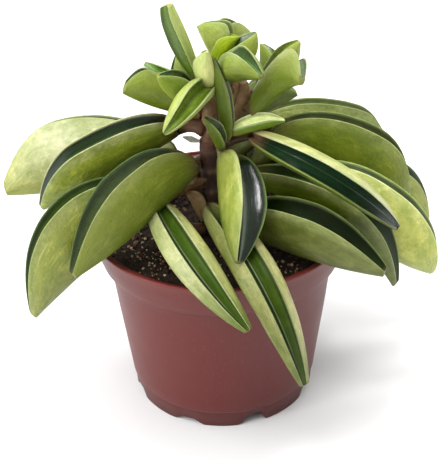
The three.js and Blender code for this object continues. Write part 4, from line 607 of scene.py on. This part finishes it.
    # the pale midline along the groove's floor is a painted highlight, and the walls just under the rim are darkened as
    # painted shade
    mid = smooth01((c[:, None] - 2.72) / 0.28)
    groove = groove + (m1 - groove) * mid * (0.0 if "line" in look else 0.55)
    wall = smooth01((2.55 - c[:, None]) / 0.4)
    groove = groove * (1 - (0.0 if "line" in look else 0.42) * wall)
    if "line" in look:  # a fine painted highlight line off the middle of the groove, with painted shade on the wall outside it
        ls, l0 = look["line"]
        # the wall between the rim and the line: painted shade
        out = (side == ls) & (c > 2) & (c < l0 - 0.06)
        groove[out] = lin(look.get("gd", look["g"]))
        # the far wall just under its rim: painted shade
        far = (side == -ls) & (c > 2) & (c < 2.3)
        groove[far] = 0.35 * groove[far] + 0.65 * lin(look.get("gd", look["g"]))
        # the line itself: painted highlight, fading towards the tip
        on = (side == ls) & (np.abs(c - l0) < 0.075)
        fade = (0.55 + 0.45 * noise(np.stack([s * 5, c * 0 + seed, c * 0 + 1], -1), 2))[:, None] * smooth01((0.93 - s[:, None]) / 0.15)
        groove = np.where(on[:, None], groove + (lin(look["m"]) - groove) * fade, groove)
    colr = face.copy()
    # the rim bead: partly the pale margin, partly a painted highlight on the rounded rim
    isrim = ((c > 1) & (c <= 2))
    isgr = c > 2
    rr2 = lin(look.get("r2", look["r"]))
    rims = np.where(sd, r1, rr2)
    colr[isrim] = rims[isrim]
    colr[isgr] = groove[isgr]
    firstg = (c > 2) & (c < 2.05)
    colr[firstg] = 0.6 * groove[firstg] + 0.4 * rims[firstg]
    tipdark = smooth01((s[:, None] - 0.97) / 0.03)
    colr = colr + (lin((150, 120, 80)) - colr) * tipdark * 0.35
    ww = smooth01((0.10 - s[:, None]) / 0.12)
    colr = colr + (p1 - colr) * ww
    stem_c = lin(stem_tint)
    wst = smooth01((-0.25 - s[:, None]) / 0.6)
    colr = colr + (stem_c - colr) * wst * 0.85
    gr = np.where(isgr, 1.0, np.where(isrim, 0.35, 0.0)) * (s > 0.02)
    lc = np.stack([s * ln, c * 9 * side, np.full_like(s, seed)], -1)
    # gain scales a leaf's colours; on leaf_right_outer, leaf_crown_pale and leaf_middle_right it is painted light
    ob = make_mesh("v_" + L["name"], V * MM, tube_faces(nr, n), dict(col=np.c_[np.clip(colr * EXPO * look.get("gain", 1.0), 0, 0.93), np.ones(len(V))], lc=lc, gr=gr))
    slot = "dry_leaf" if L["name"] == "withered_leaf" else "young_leaf" if look["p"] == YOUNG_AND_LIT["p"] else "leaf"
    for mat in LEAFMAT[slot + ("_matt" if look.get("matt") else "")]:
        ob.data.materials.append(mat)
    gm = [1 if min(gr[i] for i in p.vertices) > 0.3 and sum(gr[i] for i in p.vertices) / len(p.vertices) > 0.7 else 0 for p in ob.data.polygons]
    ob.data.polygons.foreach_set("material_index", gm)
    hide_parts(L["name"])
    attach(ob, "root")
    return ob


LEAFMAT = {
    "leaf": (leaf_material("leaf"), groove_material("leaf_groove")),
    "leaf_matt": (leaf_material("leaf_old"), groove_material("leaf_groove_matt", 0.36, 0.14, 0.0)),
    "young_leaf": (leaf_material("young_leaf", 0.40, 0.36, 0.25, 0.28), groove_material("young_leaf_groove", 0.24, 0.45, 0.15)),
    "dry_leaf": (leaf_material("dry_leaf", 0.85, 0.7, 0.2, 0.2), leaf_material("dry_leaf_inside", 0.85, 0.7, 0.2, 0.2)),
}
for L in LEAVES:
    leaf(L)

# ---------------------------------------------------------------- pot
PROFILE = [
    (0.0, 5.0), (20, 5.0), (40.4, 5.0), (40.9, 4.6), (40.9, 0.25), (41.1, 0.0), (42.3, 0.0), (42.6, 0.25), (43.2, 8.4), (43.3, 8.9),
    (43.55, 9.15), (43.85, 9.3), (43.97, 9.6), (44.6, 15), (45.9, 25), (47.2, 35), (48.5, 45), (49.8, 56), (51.0, 66), (51.9, 72.3),
    (52.1, 72.75), (52.6, 72.95), (54.4, 72.9), (54.9, 73.0), (55.25, 73.5), (56.3, 76.9), (57.4, 80.2), (58.25, 83.2), (59.0, 86.2), (59.75, 88.4),
    (60.0, 89.2), (59.95, 89.65), (59.7, 89.95), (59.3, 90.0), (58.75, 90.0), (58.5, 89.8), (58.35, 89.2), (58.15, 88.8), (56.7, 88.8),
    (56.35, 88.6), (56.1, 88.0), (55.5, 85.5), (54.4, 79), (53.7, 74.6), (53.2, 74.0), (50.9, 72.6), (50.5, 71.8), (48.6, 57), (46.2, 37), (44.0, 18), (42.5, 7.3), (42.0, 6.5), (20, 6.5), (0, 6.5),
]
# azimuth from the front towards +X, height, half width either side (degrees), slope either side
GAPS = [(20.5, 5.6, 9.5, 5.0), (65.5, 4.0, 7, 7), (110.5, 4.0, 7, 7), (155.5, 4.2, 7, 7), (200.5, 4.0, 7, 7), (245.5, 4.0, 7, 7), (291.0, 3.4, 7, 7), (336.5, 2.6, 8, 8)]


def foot_lift(az):
    lift = 0.0
    for c, h, wl, wr in GAPS:
        d = (az - c + 180) % 360 - 180
        w = wl if d < 0 else wr
        v = h * float(smooth01(1.35 - 1.0 * abs(d) / w * 1.0)) if abs(d) < 1.35 * w else 0.0
        lift = max(lift, v)
    return lift


def build_pot():
    n = 384
    V, F, C = [], [], []
    body = lin((120, 39, 33)) * EXPO
    # line: a lighter colour on the step ring above the foot, a painted highlight along the ridge
    line = lin((152, 78, 68)) * EXPO
    skirt = lin((108, 34, 28)) * EXPO
    rimc = lin((130, 46, 39)) * EXPO
    ring_start = []
    for (r, z) in PROFILE:
        ring_start.append(len(V))
        if r == 0:
            V.append((0, 0, z))
            C.append(body)
            continue
        for j in range(n):
            az = 360 * j / n
            a = math.radians(az)
            zz = z
            if z < 8.8 and 40.85 < r < 43.4:
                lift = foot_lift(az)
                zz = lift + z * (8.9 - lift) / 8.9
            rr = r
            V.append((rr * math.sin(a), -rr * math.cos(a), zz))
            c = body
            # the step ring: painted highlight
            if 8.85 <= z <= 9.4 and r > 43:
                c = line
            elif z < 8.85:
                c = skirt
            elif z > 88.0 and r > 58:
                c = rimc
            C.append(c)
    for i in range(len(PROFILE) - 1):
        a, b = ring_start[i], ring_start[i + 1]
        ra, rb = PROFILE[i][0], PROFILE[i + 1][0]
        for j in range(n):
            k = (j + 1) % n
            if ra == 0:
                F.append((a, b + k, b + j))
            elif rb == 0:
                F.append((a + j, a + k, b))
            else:
                F.append((a + j, a + k, b + k, b + j))
    ob = make_mesh("v_pot", np.array(V) * MM, F, dict(col=np.c_[np.array(C), np.ones(len(V))]))
    ob.data.materials.append(pot_material())
    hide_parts("pot")
    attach(ob, "root")
    return ob


build_pot()

# ---------------------------------------------------------------- soil
SOIL = grain_material("potting_soil", 1.0, 0.0012, 620.0, 0.95, (0.30, 0.28, 0.26, 1.0))
CRUMB = grain_material("soil_crumbs", 0.6, 0.0004, 1600.0, 0.92)


def soil_height(x, y):
    r = np.hypot(x, y)
    mound = 1.0 * np.clip(1 - r / 54, 0, 1)
    p = np.stack([x / 9.0, y / 9.0, np.zeros_like(x)], -1)
    q = np.stack([x / 2.6, y / 2.6, np.zeros_like(x) + 5], -1)
    return 84.0 + mound + 0.8 * noise(p, 3) + 0.75 * noise(q, 2)


def build_soil():
    nr, n = 72, 200
    V = [(0.0, 0.0, float(soil_height(np.array([0.0]), np.array([0.0]))[0]))]
    for i in range(1, nr + 1):
        r = 55.1 * i / nr
        a = np.arange(n) / n * 2 * np.pi
        x, y = r * np.cos(a), r * np.sin(a)
        z = soil_height(x, y)
        V += list(zip(x, y, z))
    F = [(0, 1 + j, 1 + (j + 1) % n) for j in range(n)]
    for i in range(nr - 1):
        a, b = 1 + i * n, 1 + (i + 1) * n
        for j in range(n):
            k = (j + 1) % n
            F.append((a + j, b + j, b + k, a + k))
    # side and bottom, against the pot
    prof = [(53.6, 74.9), (50.5, 72.4), (42.5, 8.0), (40.0, 6.7)]
    prev = 1 + (nr - 1) * n
    for r, z in prof:
        st = len(V)
        for j in range(n):
            a = j / n * 2 * np.pi
            V.append((r * math.cos(a), r * math.sin(a), z))
        for j in range(n):
            k = (j + 1) % n
            F.append((prev + j, st + j, st + k, prev + k))
        prev = st
    V.append((0, 0, 6.7))
    F += [(prev + j, len(V) - 1, prev + (j + 1) % n) for j in range(n)]
    V = np.array(V, float)
    t = noise(V / 5.0, 3)[:, None]
    col = lin((46, 34, 27)) * (1 + 0.5 * t)
    ob = make_mesh("v_soil", V * MM, F, dict(col=np.c_[np.clip(col, 0, 1), np.ones(len(V))]))
    ob.data.materials.append(SOIL)
    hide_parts("soil")
    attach(ob, "root")
    return ob


build_soil()

ICO_V = None


def ico(sub):
    import bmesh
    bm = bmesh.new()
    bmesh.ops.create_icosphere(bm, subdivisions=sub, radius=1.0)
    v = np.array([x.co[:] for x in bm.verts])
    f = [[x.index for x in p.verts] for p in bm.faces]
    bm.free()
    return v, f


def crumbs():
    r1 = np.random.default_rng(21)
    base_v, base_f = ico(1)
    V, F, C = [], [], []
    kinds = []
    for _ in range(1900):
        r = 54.2 * math.sqrt(r1.random())
        a = r1.random() * 2 * np.pi
        kinds.append((r * math.cos(a), r * math.sin(a), 0.30 + 1.15 * r1.random() ** 2.6, ((48, 34, 26), (62, 44, 32), (84, 60, 42), (112, 84, 60))[int(4 * r1.random() ** 1.7)]))
    # pale mineral crumbs, in drifts
    for cx, cy, sx, cnt in ((-36, -20, 8, 80), (-24, -34, 9, 70), (40, -14, 7, 60), (26, -38, 8, 60), (0, 30, 26, 80), (-8, -44, 14, 40), (-44, -4, 6, 30)):
        for _ in range(cnt):
            x = cx + r1.normal() * sx
            y = cy + r1.normal() * sx * 0.7
            if math.hypot(x, y) > 53.5:
                continue
            kinds.append((x, y, 0.30 + 0.85 * r1.random() ** 2.2, ((206, 184, 150), (176, 142, 108), (140, 106, 78))[int(3 * r1.random())]))
    for x, y, sz, colr in kinds:
        if math.hypot(x + 3.4, y + 6.2) < 4.5:
            continue
        z = float(soil_height(np.array([x]), np.array([y]))[0])
        v = base_v * (1 + 0.35 * noise(base_v * 1.3 + r1.random(3) * 20, 2)[:, None])
        v = v * (np.array([1.0, 0.55 + 0.5 * r1.random(), 0.5 + 0.4 * r1.random()]) * sz)
        rot = np.array(Matrix.Rotation(r1.random() * 6.28, 3, "Z") @ Matrix.Rotation(r1.random() * 1.2, 3, "X"))
        v = v @ rot.T + np.array([x, y, min(z + 0.25 * sz, 86.0)])
        st = len(V)
        V += [tuple(p) for p in v]
        F += [[i + st for i in f] for f in base_f]
        cc = lin(colr) * (0.75 + 0.5 * r1.random())
        C += [cc] * len(v)
    V = np.array(V)
    ob = make_mesh("v_soil_crumbs", V * MM, F, dict(col=np.c_[np.clip(np.array(C), 0, 1), np.ones(len(V))]))
    ob.data.materials.append(CRUMB)
    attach(ob, "root")


crumbs()

# ---------------------------------------------------------------- stem
BARK = grain_material("stem_bark", 0.55, 0.0005, 700.0, 0.72, (0.5, 0.42, 0.36, 1.0))
MAIN = [(-3.4, -6.2, 44), (-3.4, -6.2, 62), (-3.4, -6.1, 84), (-3.4, -5, 98), (-3.5, -4.5, 106), (-4, -4, 115), (-4, -4, 124), (-3.8, -4, 131)]
MAIN_R = [1.5, 4.2, 4.9, 4.5, 4.35, 4.25, 4.35, 4.5]
LEFT = [(-3.9, -4, 126), (-3.4, -4, 136), (-3.3, -4, 147), (-3.8, -4, 158), (-3.6, -3.6, 163)]
LEFT_R = [3.9, 3.9, 3.5, 2.8, 1.4]
RIGHT = [(-3.2, -3.8, 126), (1.9, -3.1, 134), (8, -3, 144.5), (10.6, -3, 152), (11, -2.8, 158)]
RIGHT_R = [3.7, 3.4, 3.5, 3.6, 2.2]
MIDDLE = [(2.8, -3.2, 136), (5.3, -3.8, 148), (6.6, -3.9, 155.5), (6.1, -3.9, 161)]
MIDDLE_R = [2.7, 2.9, 3.0, 1.6]
# node scars: path, place along it 0..1, swelling in mm
SCARS = {"main": (0.58, 0.745, 0.905), "left": (0.25, 0.5, 0.75), "right": (0.3, 0.55, 0.8), "middle": (0.4, 0.75)}


def catmull(P, R, steps):
    P = np.array(P, float)
    R = np.array(R, float)
    out, rad = [], []
    for i in range(len(P) - 1):
        p0, p1, p2, p3 = P[max(0, i - 1)], P[i], P[i + 1], P[min(len(P) - 1, i + 2)]
        for j in range(steps):
            t = j / steps
            out.append(0.5 * ((2 * p1) + (p2 - p0) * t + (2 * p0 - 5 * p1 + 4 * p2 - p3) * t * t + (3 * p1 - p0 - 3 * p2 + p3) * t ** 3))
            rad.append(R[i] + (R[i + 1] - R[i]) * t)
    out.append(P[-1])
    rad.append(R[-1])
    return np.array(out), np.array(rad)


def build_stem():
    V, F, C = [], [], []
    n = 40
    for name, P, R in (("main", MAIN, MAIN_R), ("left", LEFT, LEFT_R), ("right", RIGHT, RIGHT_R), ("middle", MIDDLE, MIDDLE_R)):
        pts, rad = catmull(P, R, 14)
        d = np.gradient(pts, axis=0)
        d /= np.linalg.norm(d, axis=1)[:, None]
        ref = np.array([1.0, 0, 0])
        st = len(V)
        m = len(pts)
        for i in range(m):
            x = d[i]
            ref = norm(ref - x * ref.dot(x))
            y = np.cross(x, ref)
            f = i / (m - 1)
            swell = sum(math.exp(-((f - q) / 0.022) ** 2) for q in SCARS[name])
            for j in range(n):
                a = 2 * np.pi * j / n
                dirv = ref * math.cos(a) + y * math.sin(a)
                nz = float(noise(np.array([pts[i][2] / 3.5, dirv[0] * 1.7 + 3, dirv[1] * 1.7]), 3))
                nz2 = float(noise(np.array([pts[i][2] / 12.0, dirv[0] * 2.6 + 9, dirv[1] * 2.6]), 2))
                r = rad[i] * (1 - 0.03) + 0.12 * nz + 0.25 * nz2 + 0.20 * swell
                V.append(pts[i] + dirv * r)
                young = smooth01((pts[i][2] - 118) / 26)
                bark = lin((60, 37, 31)) * (1 + 0.3 * nz + 0.35 * nz2)
                flesh = lin((128, 80, 58)) * (1 + 0.25 * nz)
                if name != "main":
                    flesh = flesh * (1 - young * 0.4) + lin((170, 150, 90)) * young * 0.4
                c = bark + (flesh * 0.72 - bark) * young
                c = c + (lin((150, 124, 96)) - c) * min(1, swell) * (0.15 + 0.5 * max(0, nz2 * 2))
                C.append(c)
        V.append(pts[0] - d[0] * 0.2)
        V.append(pts[-1] + d[-1] * 0.4)
        C += [C[-1], C[-1]]
        F += tube_faces(m, n, True, st)
    V = np.array(V)
    ob = make_mesh("v_stem", V * MM, F, dict(col=np.c_[np.clip(np.array(C), 0, 1), np.ones(len(V))]))
    ob.data.materials.append(BARK)
    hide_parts("stem")
    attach(ob, "root")


build_stem()

# ---------------------------------------------------------------- dry scales and buds at the nodes
def scale_leaf(name, P, widths, up, curl, thick, colour):
    """A thin curled strip with a thickness, along the points P."""
    P = np.array(P, float)
    pts, wd = catmull(P, widths, 8)
    d = np.gradient(pts, axis=0)
    d /= np.linalg.norm(d, axis=1)[:, None]
    m = 9
    V, C = [], []
    for i in range(len(pts)):
        x = d[i]
        z = norm(np.array(up, float) - x * np.dot(up, x))
        y = np.cross(z, x)
        top, bot = [], []
        for j in range(m):
            u = j / (m - 1) * 2 - 1
            wob = float(noise(np.array([i * 0.45, u * 1.6 + 5, len(name) * 1.7]), 2))
            p = pts[i] + y * wd[i] * u * math.cos(curl * abs(u) * 0.6) + z * (wd[i] * curl * u * u * 0.7 + 0.25 * wob * wd[i])
            e = thick * (1 - 0.75 * u * u) + 0.04
            top.append(p + z * e)
            bot.append(p - z * e)
        V += top + bot[::-1]
        for j in range(2 * m):
            C.append(lin(colour) * EXPO * (0.8 + 0.5 * abs(float(noise(np.array([i * 0.6, j * 0.5, 2.0]), 2)))))
    n = 2 * m
    nr = len(pts)
    V += [pts[0], pts[-1]]
    C += [C[0], C[-1]]
    ob = make_mesh(name, np.array(V) * MM, tube_faces(nr, n), dict(col=np.c_[np.clip(np.array(C), 0, 1), np.ones(len(V))]))
    ob.data.materials.append(SCALE)
    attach(ob, "root")


SCALE = grain_material("dry_scale", 0.4, 0.0003, 900.0, 0.8, (0.6, 0.52, 0.42, 1.0))
scale_leaf("v_dry_bract", [(-5.5, -9.6, 114.0), (-8.6, -10.8, 113.6), (-11.6, -11.6, 112.2)], [0.5, 1.9, 0.35], (0.2, -0.6, 1), 0.7, 0.12, (170, 136, 92))
scale_leaf("v_dry_scale_upper", [(-8.0, -6.5, 131.6), (-11.8, -7.0, 133.0), (-15.4, -7.4, 134.6)], [0.5, 1.6, 0.3], (0.2, -0.8, 0.6), 0.6, 0.08, (214, 210, 190))
scale_leaf("v_dry_scale_right", [(0.6, -8.9, 126.0), (3.2, -10.0, 127.6), (5.6, -10.6, 127.4)], [0.4, 1.2, 0.3], (0.1, -0.5, 1), 0.7, 0.10, (150, 112, 80))


def buds():
    r1 = np.random.default_rng(33)
    bv, bf = ico(3)
    V, F, C = [], [], []
    for x, y, z, s, c in ((2.6, -9.2, 137.6, 0.85, (190, 204, 110)), (4.4, -9.0, 136.6, 0.7, (206, 214, 140)), (6.0, -8.6, 135.6, 0.75, (176, 190, 96)), (1.4, -8.4, 139.2, 0.6, (216, 220, 160)), (5.2, -8.2, 139.0, 0.55, (196, 206, 130)), (-1.6, -7.6, 166.4, 0.7, (200, 214, 80))):
        v = bv * (1 + 0.22 * noise(bv * 1.6 + r1.random(3) * 9, 2)[:, None]) * np.array([0.8, 0.8, 1.35]) * s
        st = len(V)
        V += [tuple(p + np.array([x, y, z])) for p in v]
        F += [[i + st for i in f] for f in bf]
        C += [lin(c) * EXPO] * len(v)
    ob = make_mesh("v_node_buds", np.array(V) * MM, F, dict(col=np.c_[np.clip(np.array(C), 0, 1), np.ones(len(V))]))
    ob.data.materials.append(SCALE)
    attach(ob, "root")


buds()

# ---------------------------------------------------------------- floor, light, camera
bpy.ops.mesh.primitive_plane_add(size=6, location=(0, 0, 0))
floor = bpy.context.object
floor.name = "floor"
fm = Mat("floor_paper")
c = fm.mix(fm.ramp(fm.noise(fm.coord(), 3.0, 2.0), 0.3, 0.7, 0.0, 0.4), rgba((214, 214, 214)), rgba((211, 211, 212)))
fm.link(c, fm.b.inputs["Base Color"])
fm.b.inputs["Roughness"].default_value = 0.9
floor.data.materials.append(fm.m)

world = bpy.data.worlds.new("studio")
scene.world = world
world.use_nodes = True
bg = world.node_tree.nodes["Background"]
bg.inputs[0].default_value = (1.0, 1.0, 1.0, 1.0)
bg.inputs[1].default_value = 0.60


def aim(ob, loc, target):
    ob.location = loc
    ob.rotation_euler = (Vector(target) - Vector(loc)).to_track_quat("-Z", "Y").to_euler()
    scene.collection.objects.link(ob)


def sun(name, loc, strength, angle):
    """A wide soft source that lights surfaces without mirroring itself in the glossy grooves."""
    li = bpy.data.lights.new(name, "SUN")
    li.energy = strength
    li.angle = math.radians(angle)
    ob = bpy.data.objects.new(name, li)
    ob.visible_glossy = False
    aim(ob, loc, (0, 0, 0.1))


def area(name, loc, target, size, power, along=None):
    li = bpy.data.lights.new(name, "AREA")
    li.shape = "RECTANGLE"
    li.size, li.size_y = size
    li.energy = power
    ob = bpy.data.objects.new(name, li)
    aim(ob, loc, target)
    if along is not None:  # the long side follows this direction
        z = (Vector(loc) - Vector(target)).normalized()
        y = Vector(along) - z * Vector(along).dot(z)
        y.normalize()
        x = y.cross(z)
        ob.rotation_euler = Matrix((x, y, z)).transposed().to_euler()


sun("key_left", (-0.95, -0.35, 1.25), 3.3, 62)
sun("top_soft", (0.18, 0.10, 1.2), 1.7, 74)
area("overhead", (0.05, 0.02, 0.98), (0.016, -0.034, 0.123), (0.12, 0.16), 2.4)
area("back_right", (0.34, 0.38, 0.86), (0.04, -0.04, 0.134), (0.20, 0.52), 5.4, (0.57, -0.21, -0.07))
area("strip_left", (-0.66, -0.36, 0.24), (0.0, 0.0, 0.06), (0.10, 0.42), 2.6)

cam = bpy.data.cameras.new("camera")
cam.sensor_fit = "AUTO"
cam.sensor_width = 36.0
FPX = 1302.4
cam.lens = FPX * 36.0 / 460.0
PITCH, ROLL = math.radians(32.98), math.radians(-1.41)
back = np.array([0, -math.cos(PITCH), math.sin(PITCH)])
right = np.array([1.0, 0, 0])
upv = np.cross(back, right)
r2 = math.cos(ROLL) * right + math.sin(ROLL) * upv
u2 = -math.sin(ROLL) * right + math.cos(ROLL) * upv
cam_ob = bpy.data.objects.new("camera", cam)
m4 = Matrix.Identity(4)
for i in range(3):
    m4[i][0], m4[i][1], m4[i][2] = r2[i], u2[i], back[i]
m4[0][3], m4[1][3], m4[2][3] = -0.0002, -0.5017, 0.4069
cam_ob.matrix_world = m4
cam.clip_start = 0.01
scene.collection.objects.link(cam_ob)
scene.camera = cam_ob
scene.view_settings.view_transform = "Standard"
